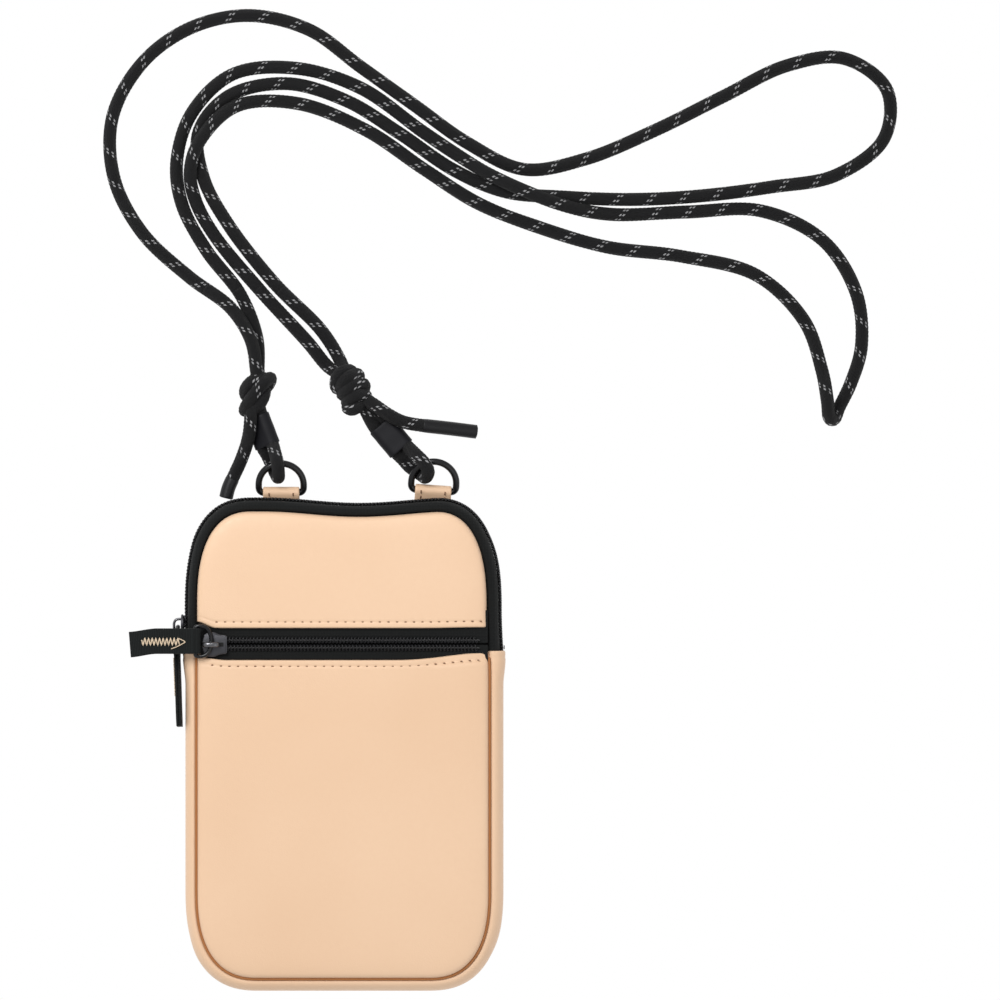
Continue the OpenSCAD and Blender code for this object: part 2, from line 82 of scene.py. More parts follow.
def make_studio():
    scene = bpy.context.scene
    scene.view_settings.view_transform = "Standard"
    world = bpy.data.worlds.new("studio")
    world.use_nodes = True
    background = world.node_tree.nodes["Background"]
    background.inputs["Color"].default_value = (1.0, 1.0, 1.0, 1.0)
    background.inputs["Strength"].default_value = 0.6
    scene.world = world
    area_light("key_light", (-0.35, 0.5, 0.85), (0.0, 0.03, 0.0), 0.5, 6.2)
    area_light("fill_light", (0.9, -0.3, 1.3), (0.05, 0.05, 0.0), 1.2, 2.5)
    bpy.ops.mesh.primitive_plane_add(size=12.0, location=(0.0, 0.0, -0.0002))
    floor = bpy.context.object
    floor.name = "floor"
    floor.data.materials.append(floor_material())


# ---------------------------------------------------------------- materials

def new_material(name, color, roughness, **values):
    """A principled material; values are constants set on the shader's own sockets."""
    mat = bpy.data.materials.new(name)
    mat.use_nodes = True
    shader = mat.node_tree.nodes["Principled BSDF"]
    shader.inputs["Base Color"].default_value = (*color, 1.0)
    shader.inputs["Roughness"].default_value = roughness
    for socket, value in values.items():
        shader.inputs[socket.replace("_", " ")].default_value = value
    return mat


class Graph:
    """Short calls for building a material's node tree."""

    def __init__(self, mat):
        self.tree = mat.node_tree
        self.shader = self.tree.nodes["Principled BSDF"]

    def node(self, kind, **settings):
        made = self.tree.nodes.new(kind)
        for key, value in settings.items():
            setattr(made, key, value)
        return made

    def plug(self, value, socket):
        if isinstance(value, bpy.types.NodeSocket):
            self.tree.links.new(value, socket)
        else:
            socket.default_value = value

    def math(self, operation, a, b=0.0):
        made = self.node("ShaderNodeMath", operation=operation)
        self.plug(a, made.inputs[0])
        self.plug(b, made.inputs[1])
        return made.outputs[0]

    def object_coords(self):
        return self.node("ShaderNodeTexCoord").outputs["Object"]

    def split(self, coords):
        """The first two parts of the Object or UV coordinates."""
        parts = self.node("ShaderNodeSeparateXYZ")
        self.plug(self.node("ShaderNodeTexCoord").outputs[coords], parts.inputs[0])
        return parts.outputs[0], parts.outputs[1]

    def wave(self, value, pitch):
        """A sine that repeats at each pitch of the value."""
        return self.math("SINE", self.math("MULTIPLY", value, 2 * math.pi / pitch))

    def noise(self, coords, scale, detail=2.0, roughness=0.5):
        made = self.node("ShaderNodeTexNoise")
        self.plug(coords, made.inputs["Vector"])
        made.inputs["Scale"].default_value = scale
        made.inputs["Detail"].default_value = detail
        made.inputs["Roughness"].default_value = roughness
        return made.outputs["Fac"]

    def voronoi(self, coords, scale):
        made = self.node("ShaderNodeTexVoronoi")
        self.plug(coords, made.inputs["Vector"])
        made.inputs["Scale"].default_value = scale
        return made.outputs["Distance"]

    def ramp(self, factor, stops):
        made = self.node("ShaderNodeValToRGB")
        elements = made.color_ramp.elements
        while len(elements) < len(stops):
            elements.new(0.5)
        for element, (place, color) in zip(elements, stops):
            element.position = place
            element.color = (*color, 1.0)
        self.plug(factor, made.inputs["Fac"])
        return made.outputs["Color"]

    def mix(self, factor, a, b):
        made = self.node("ShaderNodeMix", data_type="RGBA")
        self.plug(factor, made.inputs["Factor"])
        for socket, color in (("A", a), ("B", b)):
            self.plug((*color, 1.0) if isinstance(color, tuple) else color, made.inputs[socket])
        return made.outputs["Result"]

    def remap(self, value, low, high, to_low, to_high):
        made = self.node("ShaderNodeMapRange")
        self.plug(value, made.inputs["Value"])
        limits = {"From Min": low, "From Max": high, "To Min": to_low, "To Max": to_high}
        for socket, number in limits.items():
            made.inputs[socket].default_value = number
        return made.outputs["Result"]

    def bump(self, height, strength, distance, normal=None):
        made = self.node("ShaderNodeBump")
        made.inputs["Strength"].default_value = strength
        made.inputs["Distance"].default_value = distance
        self.plug(height, made.inputs["Height"])
        if normal is not None:
            self.plug(normal, made.inputs["Normal"])
        return made.outputs["Normal"]

    def finish(self, color=None, roughness=None, normal=None):
        for value, socket in ((color, "Base Color"), (roughness, "Roughness"), (normal, "Normal")):
            if value is not None:
                self.plug(value, self.shader.inputs[socket])


def floor_material():
    return new_material("studio_floor", (0.0, 0.0, 0.0), 0.9, Specular_IOR_Level=0.0,
                        Emission_Color=(1.0, 1.0, 1.0, 1.0), Emission_Strength=1.0)


def leather_material():
    """Smooth coated leather: fine pebble grain, faint mottling and slow colour drift."""
    mat = new_material("peach_leather", (0.93, 0.66, 0.43), 0.46, Specular_IOR_Level=0.42,
                       Sheen_Weight=0.06)
    g = Graph(mat)
    at = g.object_coords()
    drift = g.noise(at, 14.0, 2.0)
    mottle = g.noise(at, 420.0, 4.0, 0.6)
    color = g.ramp(drift, [(0.3, (0.785, 0.53, 0.345)), (0.7, (0.83, 0.575, 0.385))])
    color = g.mix(g.remap(mottle, 0.3, 0.7, 0.0, 0.12), color, (0.74, 0.475, 0.30))
    grain = g.voronoi(at, 1900.0)
    fine = g.noise(at, 3800.0, 3.0)
    normal = g.bump(fine, 0.1, 0.00012, g.bump(grain, 0.16, 0.00016))
    g.finish(color, g.remap(mottle, 0.3, 0.7, 0.42, 0.52), normal)
    return mat


YARN_PITCH = 0.00046
YARN_STARTS = 16
TRACER_PITCH = 0.0125
TRACER_STEPS = 8


def braid_material():
    """Braided cord; U is the distance along it in metres and V the turn round it."""
    mat = new_material("braided_cord", (0.010, 0.010, 0.011), 0.66, Sheen_Weight=0.05, Sheen_Roughness=0.4,
                       Specular_IOR_Level=0.12)
    g = Graph(mat)
    along, turn = g.split("UV")
    yarn = g.math("MULTIPLY", along, 2 * math.pi / YARN_PITCH)
    slant = g.math("MULTIPLY", turn, 2 * math.pi * YARN_STARTS)
    ply_a = g.math("SINE", g.math("ADD", yarn, slant))
    ply_b = g.math("SINE", g.math("SUBTRACT", yarn, slant))
    plies = g.math("MAXIMUM", ply_a, ply_b)
    tone = g.remap(plies, -1.0, 1.0, 0.0, 1.0)
    color = g.mix(tone, (0.0015, 0.0015, 0.0017), (0.021, 0.021, 0.022))
    color = g.mix(tracer_mask(g, along, turn), color, (0.42, 0.42, 0.43))
    g.finish(color, None, g.bump(plies, 0.9, 0.0002))
    return mat


def tracer_mask(g, along, turn):
    """Pairs of short light dashes where one tracer yarn of the braid comes to the surface."""
    laps = g.math("ADD", g.math("DIVIDE", along, TRACER_PITCH), g.math("ADD", turn, 40.0))
    lap = g.math("FRACT", laps)
    offset = g.math("ABSOLUTE", g.math("MULTIPLY", g.math("SUBTRACT", lap, 0.5), TRACER_PITCH))
    beside = g.math("ABSOLUTE", g.math("SUBTRACT", offset, 0.00062))
    in_row = g.math("LESS_THAN", beside, 0.00036)
    step = g.math("FRACT", g.math("MULTIPLY", g.math("ADD", turn, 4.0), TRACER_STEPS))
    in_step = g.math("LESS_THAN", g.math("ABSOLUTE", g.math("SUBTRACT", step, 0.5)), 0.2)
    return g.math("MULTIPLY", in_row, in_step)


def woven_material(name, dark, light, pitch):
    """Plain woven tape: two sets of threads crossing, from the piece's own coordinates."""
    mat = new_material(name, dark, 0.8, Sheen_Weight=0.05, Sheen_Roughness=0.5, Specular_IOR_Level=0.12)
    g = Graph(mat)
    x, y = g.split("Object")
    across = g.wave(g.math("ADD", x, y), pitch)
    along = g.wave(g.math("SUBTRACT", x, y), pitch)
    height = g.math("MULTIPLY", across, along)
    fibre = g.noise(g.object_coords(), 2500.0, 3.0)
    color = g.mix(g.remap(height, -1.0, 1.0, 0.0, 1.0), dark, light)
    color = g.mix(g.remap(fibre, 0.3, 0.7, 0.0, 0.4), color, dark)
    g.finish(color, None, g.bump(height, 0.5, 0.00012, g.bump(fibre, 0.3, 0.0001)))
    return mat


def ribbed_material(name, dark, light, pitch):
    """Grosgrain webbing: ribs along U, fine yarn along V, both in metres."""
    mat = new_material(name, dark, 0.78, Sheen_Weight=0.05, Sheen_Roughness=0.5, Specular_IOR_Level=0.15)
    g = Graph(mat)
    along, across = g.split("UV")
    yarn = g.math("MULTIPLY", g.wave(across, 0.6 * pitch), 0.35)
    height = g.math("ADD", g.wave(along, pitch), yarn)
    fibre = g.noise(g.object_coords(), 3000.0, 2.0)
    color = g.mix(g.remap(height, -1.3, 1.3, 0.0, 1.0), dark, light)
    g.finish(color, None, g.bump(height, 0.5, 0.00014, g.bump(fibre, 0.25, 0.0001)))
    return mat


def metal_material(name, color, roughness, metallic):
    """Painted or plated metal with faint scuffs."""
    wear = 0.06
    mat = new_material(name, color, roughness, Metallic=metallic)
    g = Graph(mat)
    scuff = g.noise(g.object_coords(), 900.0, 5.0, 0.7)
    g.finish(None, g.remap(scuff, 0.35, 0.65, roughness - wear, roughness + wear),
             g.bump(scuff, 0.06, 0.00008))
    return mat


def moulded_material(name, color, roughness):
    """Matte moulded or shrunk plastic with a faint skin texture."""
    mat = new_material(name, color, roughness, Specular_IOR_Level=0.25)
    g = Graph(mat)
    skin = g.noise(g.object_coords(), 2600.0, 3.0, 0.6)
    light = tuple(min(1.0, c * 1.5) for c in color)
    g.finish(g.mix(g.remap(skin, 0.3, 0.7, 0.0, 0.6), color, light),
             g.remap(skin, 0.3, 0.7, roughness - 0.05, roughness + 0.05), g.bump(skin, 0.15, 0.0001))
    return mat


def thread_material(name, color):
    """Twisted sewing thread: fine slanted ply lines."""
    mat = new_material(name, color, 0.55, Sheen_Weight=0.2)
    g = Graph(mat)
    x, y = g.split("Object")
    ply = g.wave(g.math("ADD", x, g.math("MULTIPLY", y, 0.6)), 0.00032)
    dark = tuple(c * 0.62 for c in color)
    g.finish(g.mix(g.remap(ply, -1.0, 1.0, 0.0, 1.0), dark, color), None, g.bump(ply, 0.4, 0.0001))
    return mat


MAT = {
    "leather": leather_material(),
    "cord": braid_material(),
    "shrink": moulded_material("shrink_tube", (0.008, 0.008, 0.009), 0.42),
    "keeper": moulded_material("keeper_sleeve", (0.005, 0.005, 0.007), 0.55),
    "tape": woven_material("zip_tape", (0.005, 0.0055, 0.0055), (0.015, 0.016, 0.016), 0.0011),
    "lining": woven_material("lining", (0.010, 0.010, 0.011), (0.022, 0.022, 0.023), 0.0008),
    "coil": moulded_material("zip_teeth", (0.010, 0.010, 0.011), 0.3),
    "webbing": ribbed_material("pull_webbing", (0.004, 0.005, 0.005), (0.014, 0.016, 0.016), 0.00062),
    "thread": thread_material("peach_thread", (0.86, 0.68, 0.48)),
    "black_thread": thread_material("black_thread", (0.02, 0.02, 0.021)),
    # Painted shade: peach thread coloured dark brown where it sinks into the stitch dents
    "shaded_stitch": thread_material("sunk_thread_painted_shade", (0.27, 0.12, 0.055)),
    "ring": metal_material("ring_metal", (0.006, 0.006, 0.007), 0.24, 0.2),
    "slider": metal_material("slider_metal", (0.065, 0.065, 0.072), 0.34, 0.75),
    "wire": metal_material("pull_wire", (0.005, 0.005, 0.006), 0.2, 0.2),
    "bridge": metal_material("slider_bridge", (0.16, 0.16, 0.17), 0.2, 0.9),
    # Painted shade: the dark brown laid along the crease between the front panels and the rim
    "crease_shade": new_material("painted_crease_shade", (0.40, 0.17, 0.065), 0.8, Specular_IOR_Level=0.1),
    # Painted shadow: the black sheet laid on the slider's top plate
    "shadow": new_material("slider_slot_shadow", (0.004, 0.004, 0.004), 0.9),
}


# ---------------------------------------------------------------- mesh helpers

def mesh_piece(name, points, faces, mat, uvs=None, smooth=True):
    """An object from points and faces; uvs is one pair for each point."""
    mesh = bpy.data.meshes.new(name)
    mesh.from_pydata([tuple(p) for p in points], [], faces)
    if smooth:
        mesh.polygons.foreach_set("use_smooth", [True] * len(mesh.polygons))
    if uvs is not None:
        layer = mesh.uv_layers.new(name="along_and_round")
        uvs = np.asarray(uvs, dtype=float)
        order = np.empty(len(mesh.loops), dtype=np.int64)
        mesh.loops.foreach_get("vertex_index", order)
        layer.data.foreach_set("uv", uvs[order].ravel())
    mesh.materials.append(mat)
    mesh.validate()
    obj = bpy.data.objects.new(name, mesh)
    bpy.context.scene.collection.objects.link(obj)
    return obj


def smooth_path(points, step):
    """A centripetal Catmull-Rom curve through the points, resampled at an even step."""
    p = np.array(points, dtype=float)
    p = np.vstack([2 * p[0] - p[1], p, 2 * p[-1] - p[-2]])
    fine = []
    for p0, p1, p2, p3 in zip(p[:-3], p[1:-2], p[2:-1], p[3:]):
        t1 = np.linalg.norm(p1 - p0) ** 0.5
        t2 = t1 + np.linalg.norm(p2 - p1) ** 0.5
        t3 = t2 + np.linalg.norm(p3 - p2) ** 0.5
        t = np.linspace(t1, t2, 24, endpoint=False)[:, None]
        a1 = (t1 - t) / t1 * p0 + t / t1 * p1
        a2 = (t2 - t) / (t2 - t1) * p1 + (t - t1) / (t2 - t1) * p2
        a3 = (t3 - t) / (t3 - t2) * p2 + (t - t2) / (t3 - t2) * p3
        b1 = (t2 - t) / t2 * a1 + t / t2 * a2
        b2 = (t3 - t) / (t3 - t1) * a2 + (t - t1) / (t3 - t1) * a3
        fine.append((t2 - t) / (t2 - t1) * b1 + (t - t1) / (t2 - t1) * b2)
    fine = np.vstack(fine + [p[-2]])
    reach = travelled(fine)
    count = max(2, int(round(reach[-1] / step)) + 1)
    even = np.linspace(0.0, reach[-1], count)
    return np.stack([np.interp(even, reach, fine[:, k]) for k in range(3)], axis=1)


def travelled(path):
    """The distance along a path to each of its points."""
    return np.r_[0.0, np.cumsum(np.linalg.norm(np.diff(path, axis=0), axis=1))]


def path_length(path):
    return float(np.linalg.norm(np.diff(path, axis=0), axis=1).sum())


def path_frames(path):
    """Two side vectors at each point, that turn as little as they can along the path."""
    tangents = np.gradient(path, axis=0)
    tangents /= np.linalg.norm(tangents, axis=1)[:, None]
    side = np.cross(tangents[0], [0.0, 0.0, 1.0])
    if np.linalg.norm(side) < 0.1:
        side = np.cross(tangents[0], [0.0, 1.0, 0.1])
    side /= np.linalg.norm(side)
    sides = [side]
    for t in tangents[1:]:
        side = sides[-1] - t * np.dot(sides[-1], t)
        sides.append(side / np.linalg.norm(side))
    sides = np.array(sides)
    return sides, np.cross(tangents, sides)


END_TAPER = 0.72


def tube(name, path, radius, around, mat, relief=None, start_turn=0.0, u_start=0.0, round_ends=True):
    """A closed tube along a path, with UVs in metres along it and turns round it.

    The radius may vary along the path, and relief(along, turn) raises the surface.
    """
    path = np.asarray(path, dtype=float)
    n = len(path)
    radius = np.full(n, radius, dtype=float)
    if round_ends:
        radius[[0, -1]] *= END_TAPER
    sides, ups = path_frames(path)
    along = travelled(path)
    turn = np.arange(around + 1) / around
    r = radius[:, None] + (relief(*np.meshgrid(along, turn, indexing="ij")) if relief else 0.0)
    angle = 2 * math.pi * (turn + start_turn)
    ring = np.cos(angle)[None, :, None] * sides[:, None] + np.sin(angle)[None, :, None] * ups[:, None]
    points = (path[:, None] + r[:, :, None] * ring)[:, :-1].reshape(-1, 3)
    faces = grid_faces(n, around, closed=True)
    i, k = np.divmod(np.arange(len(faces)), around)
    rows = np.stack([i, i, i + 1, i + 1], axis=1).ravel()
    turns = np.stack([k, k + 1, k + 1, k], axis=1).ravel()
    faces.append(tuple(range(around - 1, -1, -1)))
    faces.append(tuple(range((n - 1) * around, n * around)))
    mesh = bpy.data.meshes.new(name)
    mesh.from_pydata(points.tolist(), [], faces)
    mesh.polygons.foreach_set("use_smooth", [True] * (len(faces) - 2) + [False, False])
    layer = mesh.uv_layers.new(name="along_and_round")
    flat = np.zeros((len(mesh.loops), 2))
    flat[:, 0] = u_start
    flat[:len(rows), 0] += along[rows]
    flat[:len(rows), 1] = turn[turns]
    layer.data.foreach_set("uv", flat.ravel())
    mesh.materials.append(mat)
    obj = bpy.data.objects.new(name, mesh)
    bpy.context.scene.collection.objects.link(obj)
    return obj


def pairs(u, v):
    return np.stack([u.ravel(), v.ravel()], axis=1)


def grid_faces(rows, columns, closed=False):
    """Quads of a grid of rows by columns, wrapping across the columns if closed."""
    last = columns if closed else columns - 1
    return [(i * columns + k, i * columns + (k + 1) % columns,
             (i + 1) * columns + (k + 1) % columns, (i + 1) * columns + k)
            for i in range(rows - 1) for k in range(last)]


def grid_piece(name, grid, mat, uvs=None, flip=False):
    """A mesh from a grid of points in millimetres; flip turns its faces over."""
    faces = grid_faces(*grid.shape[:2])
    if flip:
        faces = [f[::-1] for f in faces]
    return mesh_piece(name, grid.reshape(-1, 3) * MM, faces, mat, uvs)


def joined(name, objects):
    """Several mesh objects as one."""
    for obj in bpy.context.selected_objects:
        obj.select_set(False)
    for obj in objects:
        obj.select_set(True)
    bpy.context.view_layer.objects.active = objects[0]
    bpy.ops.object.join()
    whole = bpy.context.view_layer.objects.active
    whole.name = name
    whole.data.name = name
    return whole


def apply_modifiers(obj):
    """The object's mesh with its modifiers applied."""
    graph = bpy.context.evaluated_depsgraph_get()
    mesh = bpy.data.meshes.new_from_object(obj.evaluated_get(graph))
    obj.modifiers.clear()
    old = obj.data
    obj.data = mesh
    mesh.name = obj.name
    bpy.data.meshes.remove(old)
    return obj


# ---------------------------------------------------------------- cords

CORD_D = 0.005
CORD_SIDES = 24
CORD_REST_Z = 2.5
BRAID_CARRIERS = 8
BRAID_LAY = 0.0125
BRAID_HEIGHT = 0.00011

# The long cords' routes in millimetres; a point with only X and Y lies on the table

CORD_A_ROUTE = [
    (-33, 139.9, 7.8), (-35, 151, 7.8), (-42.5, 163, 5.6), (-58.5, 175), (-76, 191.5), (-86.5, 212),
    (-87, 235), (-75.5, 255.5), (-57.5, 268.3), (-36, 272.8), (-13.5, 267.5), (6, 253.5), (26, 239.2),
    (46, 225), (67, 215.2), (90, 219), (116, 229.7), (142, 242.6), (165.5, 254), (187, 256.7),
    (203, 245), (202, 226.8), (184, 213), (160, 208.6), (134, 205.3), (108, 203.9), (82, 204.8),
    (60, 206.8), (41, 214.8), (20, 229), (0.5, 240.9), (-22, 247.3), (-43.5, 242.6), (-54.8, 229),
    (-53, 212), (-44, 195), (-26.5, 172.6), (-9, 155), (-2, 144)]
CORD_B_ROUTE = [
    (-32.5, 139.9), (-33, 152), (-39, 168), (-52, 185), (-61, 202), (-63, 218), (-57.5, 236),
    (-42, 250.8), (-18, 253), (6, 245.6), (29, 229.4), (42, 220.6, 3.6), (54, 213.2, 6.6),
    (68, 206.6, 7.8), (84, 200.9, 6.2), (100, 198.3, 2.6), (128, 199.2), (156, 199.6), (179, 188.6),
    (191.5, 169), (193.5, 149), (189.5, 135), (185.2, 126, 2.6), (183.2, 121.6, 5), (181.2, 122, 8.4),
    (180.5, 128, 9), (178.5, 140, 5.6), (172, 158.5, 2.6), (154, 175.6), (126, 182.6), (98, 186.1),
    (72, 193.7), (50, 202.4), (30, 215), (8, 229.8), (-18, 239.9), (-41, 238.6, 4.8), (-54.5, 225, 7.8),
    (-57.8, 214, 6), (-56, 203.5, 2.6), (-49, 190.6), (-31.5, 169.5), (-14, 150.5), (-6, 141)]


def braid_relief(u, v):
    """Height of the braid's carriers over the cord's core, from distance along and turn round."""
    lay = u / BRAID_LAY
    one_way = np.cos(math.pi * BRAID_CARRIERS * 2 * (v + lay))
    other_way = np.cos(math.pi * BRAID_CARRIERS * 2 * (v - lay))
    return BRAID_HEIGHT * (np.maximum(one_way, other_way) - 0.6)


def in_metres(point):
    """A route's point in metres; without a Z it is half a cord's thickness above the table."""
    return tuple(v / 1000 for v in (*point, CORD_REST_Z)[:3])


def on_table(obj):
    """Flattens the underside of a soft piece where it rests on the table."""
    for vertex in obj.data.vertices:
        vertex.co.z = max(vertex.co.z, 0.0)
    return obj


def cord_piece(name, path, start_turn=0.0, u_start=0.0):
    radius = CORD_D / 2 - 0.00004
    cord = tube(name, path, radius, CORD_SIDES, MAT["cord"], braid_relief, start_turn, u_start)
    return on_table(cord)


# ---------------------------------------------------------------- pouch outline, in millimetres

HALF_W = 59.4
HALF_H = 92.0
TOP_CORNER = (26.2, 42.0, 2.6)
BOTTOM_CORNER = (28.0, 38.0, 2.5)
GUSSET_TOP = 34.6
SEAM_INSET = 5.0
FRONT_Z = 19.4
MID_Z = 9.5
ZIP_Y = 37.7
UPPER_FOLD = 43.6
LOWER_FOLD = 31.7


def smooth_step(value, start, end):
    t = np.clip((np.asarray(value, dtype=float) - start) / (end - start), 0.0, 1.0)
    return t * t * (3.0 - 2.0 * t)


def half_width(y, inset):
    """Half width of the pouch at height y, at a distance inside its outline."""
    y = np.asarray(y, dtype=float)
    widths = []
    for a, b, power in (TOP_CORNER, BOTTOM_CORNER):
        t = np.clip((np.abs(y) - (HALF_H - b)) / (b - inset), 0.0, 1.0)
        widths.append(HALF_W - a + (a - inset) * (1.0 - t ** power) ** (1.0 / power))
    return np.where(y > 0, widths[0], widths[1])


def corner(sx, sy, inset, steps):
    """One corner of the outline, from the side towards the middle of the top or bottom edge."""
    a, b, power = TOP_CORNER if sy > 0 else BOTTOM_CORNER
    angle = np.linspace(0.0, math.pi / 2, steps)
    x = HALF_W - a + (a - inset) * np.cos(angle).clip(0.0) ** (2 / power)
    y = HALF_H - b + (b - inset) * np.sin(angle) ** (2 / power)
    return np.stack([sx * x, sy * y], axis=1)


def between(p, q, steps):
    t = np.linspace(0.0, 1.0, steps + 2)[1:-1, None]
    return p + (q - p) * t


def half_outline(inset, y0, steps, top, side):
    """Half of the outline from y0, over the top left to right or round the bottom right to left."""
    first = -1 if top else 1
    sy = 1 if top else -1
    before = corner(first, sy, inset, steps)
    after = corner(-first, sy, inset, steps)[::-1]
    start = np.array([[first * (HALF_W - inset), y0]])
    end = np.array([[-first * (HALF_W - inset), y0]])
    return np.vstack([start, between(start, before[:1], side), before, between(before[-1:], after[:1], 60),
                      after, between(after[-1:], end, side), end])


def over_top(inset, y0, steps=60):
    return half_outline(inset, y0, steps, True, 20)


def under_bottom(inset, y0, steps=60):
    return half_outline(inset, y0, steps, False, 90)


def settle(points):
    """The sewn outline's small unevenness: a sagging top edge and a drawn-in upper right side."""
    out = np.array(points, dtype=float)
    x = out[..., 0].copy()
    y = out[..., 1].copy()
    sag = 2.0 * np.cos(np.clip((x - 6.0) / 36.0, -1, 1) * math.pi / 2) ** 2
    out[..., 1] -= sag * smooth_step(y, 62, 88)
    out[..., 0] -= 0.9 * smooth_step(x, 20, 56) * smooth_step(y, 25, 50)
    out[..., 0] -= 0.4 * (1.0 - smooth_step(np.abs(x), 54.5, 58.5))
    return out


def spline(points, count):
    """Evenly spaced points on a smooth curve through a few given ones."""
    step = path_length(np.array(points, dtype=float)) / count
    return smooth_path([(*p, 0.0) for p in points], step)[:, :2]


def seam_distance(x, y, inset):
    """Distance of each point from the outline at an inset, taken on the unsettled outline."""
    edge = np.vstack([over_top(inset, 0.0, 160), under_bottom(inset, 0.0, 160)])
    flat = pairs(x, y)
    best = np.empty(len(flat))
    step = np.diff(edge, axis=0)
    size = np.maximum((step ** 2).sum(axis=1), 1e-9)
    for start in range(0, len(flat), 2000):
        away = flat[start:start + 2000, None] - edge[None, :-1]
        part = np.clip((away * step).sum(axis=2) / size, 0.0, 1.0)
        away -= part[..., None] * step
        best[start:start + 2000] = np.sqrt((away ** 2).sum(axis=2).min(axis=1))
    return best.reshape(x.shape)


def panel_grid(y0, count):
    """X and Y of a grid inside the seams, a row for each y, its columns closer near both edges."""
    t = np.linspace(-1.0, 1.0, count)
    across = np.sign(t) * (1.0 - (1.0 - np.abs(t)) ** (1.0 + 0.9 * np.abs(t) ** 6))
    x = half_width(y0, SEAM_INSET)[:, None] * across[None]
    return x, np.repeat(y0[:, None], count, axis=1)


# ---------------------------------------------------------------- front panels

STITCH_PITCH = 3.2
STITCH_L = 0.95
STITCH_W = 0.46
STITCH_ROW = 2.3
FOLD_ROLL = 0.75
FOLD_FADE = 16.0
# How far from the fold a panel's rows stay close together
FINE_REACH = 4.6
UNDER_FOLD = ((2.4, 1.75), (1.0, 1.75), (0.35, 1.55), (0.0, 1.1))
# How far the lower panel's fold dips at the right, where the slider stops
SLIDER_ROOM = 1.0


def stitch_places(direction):
    """X of the stitches in the row above (+1) or below (-1) the front zip."""
    start, end = (-49.2, 52.2) if direction > 0 else (-48.6, 50.6)
    count = int((end - start) / STITCH_PITCH) + 1
    return end - STITCH_PITCH * np.arange(count)


def fold_lift(x, direction):
    """How far the folded zip edge rises along Y towards the two ends of the zip."""
    if direction > 0:
        return 2.4 * smooth_step(-x, 47.0, 54.6) + 0.3 * smooth_step(x, 30.0, 52.0)
    return 0.9 * smooth_step(-x, 43.0, 53.0) + 2.7 * smooth_step(x, 16.0, 53.0) ** 1.5


def undulation(x, y, size, seed):
    """Slow smooth unevenness of a soft panel."""
    wave = np.zeros_like(x)
    waves = ((0.045, 0.031, 0.4), (-0.03, 0.052, 1.9), (0.071, -0.043, 3.1))
    for k, (fx, fy, phase) in enumerate(waves):
        wave += np.sin(fx * x + fy * y + phase + seed) / (k + 1.5)
    return size * wave


def panel_height(x, y, fold_distance, direction):
    """Height of a front panel's face."""
    edge = seam_distance(x, y, SEAM_INSET)
    z = FRONT_Z - 2.5 * np.exp(-edge / 0.45) - 1.3 * np.exp(-edge / 3.0)
    z += undulation(x, y, 0.05, direction) * smooth_step(edge, 2.0, 14.0)
    z -= 0.10 * np.exp(-((fold_distance - STITCH_ROW) / 0.5) ** 2)
    along = (x[None] - stitch_places(direction)[:, None, None]) / 0.8
    dents = np.exp(-along ** 2).sum(axis=0) * np.exp(-((fold_distance - STITCH_ROW) / 0.45) ** 2)
    return z - 0.2 * dents


def front_panel(name, fold_y, direction):
    """A front panel from its folded zip edge to the seam; direction is +1 above the zip, -1 below."""
    _, b, power = TOP_CORNER if direction > 0 else BOTTOM_CORNER
    b_in = b - SEAM_INSET
    straight = abs(direction * (HALF_H - b) - fold_y)
    fine = np.arange(0.0, FINE_REACH, 0.19)
    middle = np.linspace(FINE_REACH, max(straight, 6.0), max(4, int(straight / 1.2)))[:-1]
    bend = straight + b_in * np.sin(np.linspace(0.0, math.pi / 2, 70)) ** (2 / power)
    reach = np.r_[fine, middle[middle < straight], bend[bend > FINE_REACH]]
    x, y = panel_grid(fold_y + direction * reach, 240)
    from_fold = np.repeat(reach[:, None], x.shape[1], axis=1)
    z = panel_height(x, y, from_fold, direction)
    tucked = np.clip(FOLD_ROLL - from_fold, 0.0, FOLD_ROLL)
    z -= FOLD_ROLL - np.sqrt(FOLD_ROLL ** 2 - tucked ** 2)
    if direction < 0:
        z -= SLIDER_ROOM * smooth_step(x, 30.0, 39.0) * (1.0 - smooth_step(from_fold, 1.2, 4.2))
    y = y + fold_lift(x, direction) * np.exp(-from_fold / FOLD_FADE)
    face = np.stack([x, y, z], axis=2)
    under = []
    for back, drop in UNDER_FOLD:
        row = face[0].copy()
        row[:, 1] += direction * back
        row[:, 2] -= drop - FOLD_ROLL
        row[:, 2] = np.maximum(row[:, 2], 13.6)
        under.append(row)
    grid = np.concatenate([np.array(under), face])
    grid[..., :2] = settle(grid[..., :2])
    return grid_piece(name, grid, MAT["leather"], flip=direction > 0)


def stitch_threads(name, direction, fold_y):
    """The thread sunk in each dent of a topstitch row; its dark brown is painted shade in the dent."""
    parts = []
    for x in stitch_places(direction):
        lift = float(fold_lift(np.array(x), direction)) * math.exp(-STITCH_ROW / FOLD_FADE)
        at = settle(np.array([x, fold_y + direction * STITCH_ROW + lift]))
        parts.append((at[0], at[1], FRONT_Z - 0.28))
    return capsules(name, parts, STITCH_L, STITCH_W, MAT["shaded_stitch"])


def capsules(name, places, length, width, mat):
    """Small rounded dashes lying along X, in millimetres."""
    points, faces = [], []
    around, rings = 8, 7
    for px, py, pz in places:
        base = len(points)
        for i in range(rings):
            a = math.pi * i / (rings - 1)
            lx = -math.cos(a) * length / 2
            r = width / 2 * math.sin(a) ** 0.6 if 0 < i < rings - 1 else 0.01
            for k in range(around):
                b = 2 * math.pi * k / around
                points.append((px + lx, py + r * math.cos(b), pz + r * math.sin(b)))
        faces += [tuple(base + v for v in f[::-1]) for f in grid_faces(rings, around, closed=True)]
    return mesh_piece(name, np.array(points) * MM, faces, mat)


# ---------------------------------------------------------------- walls round the pouch

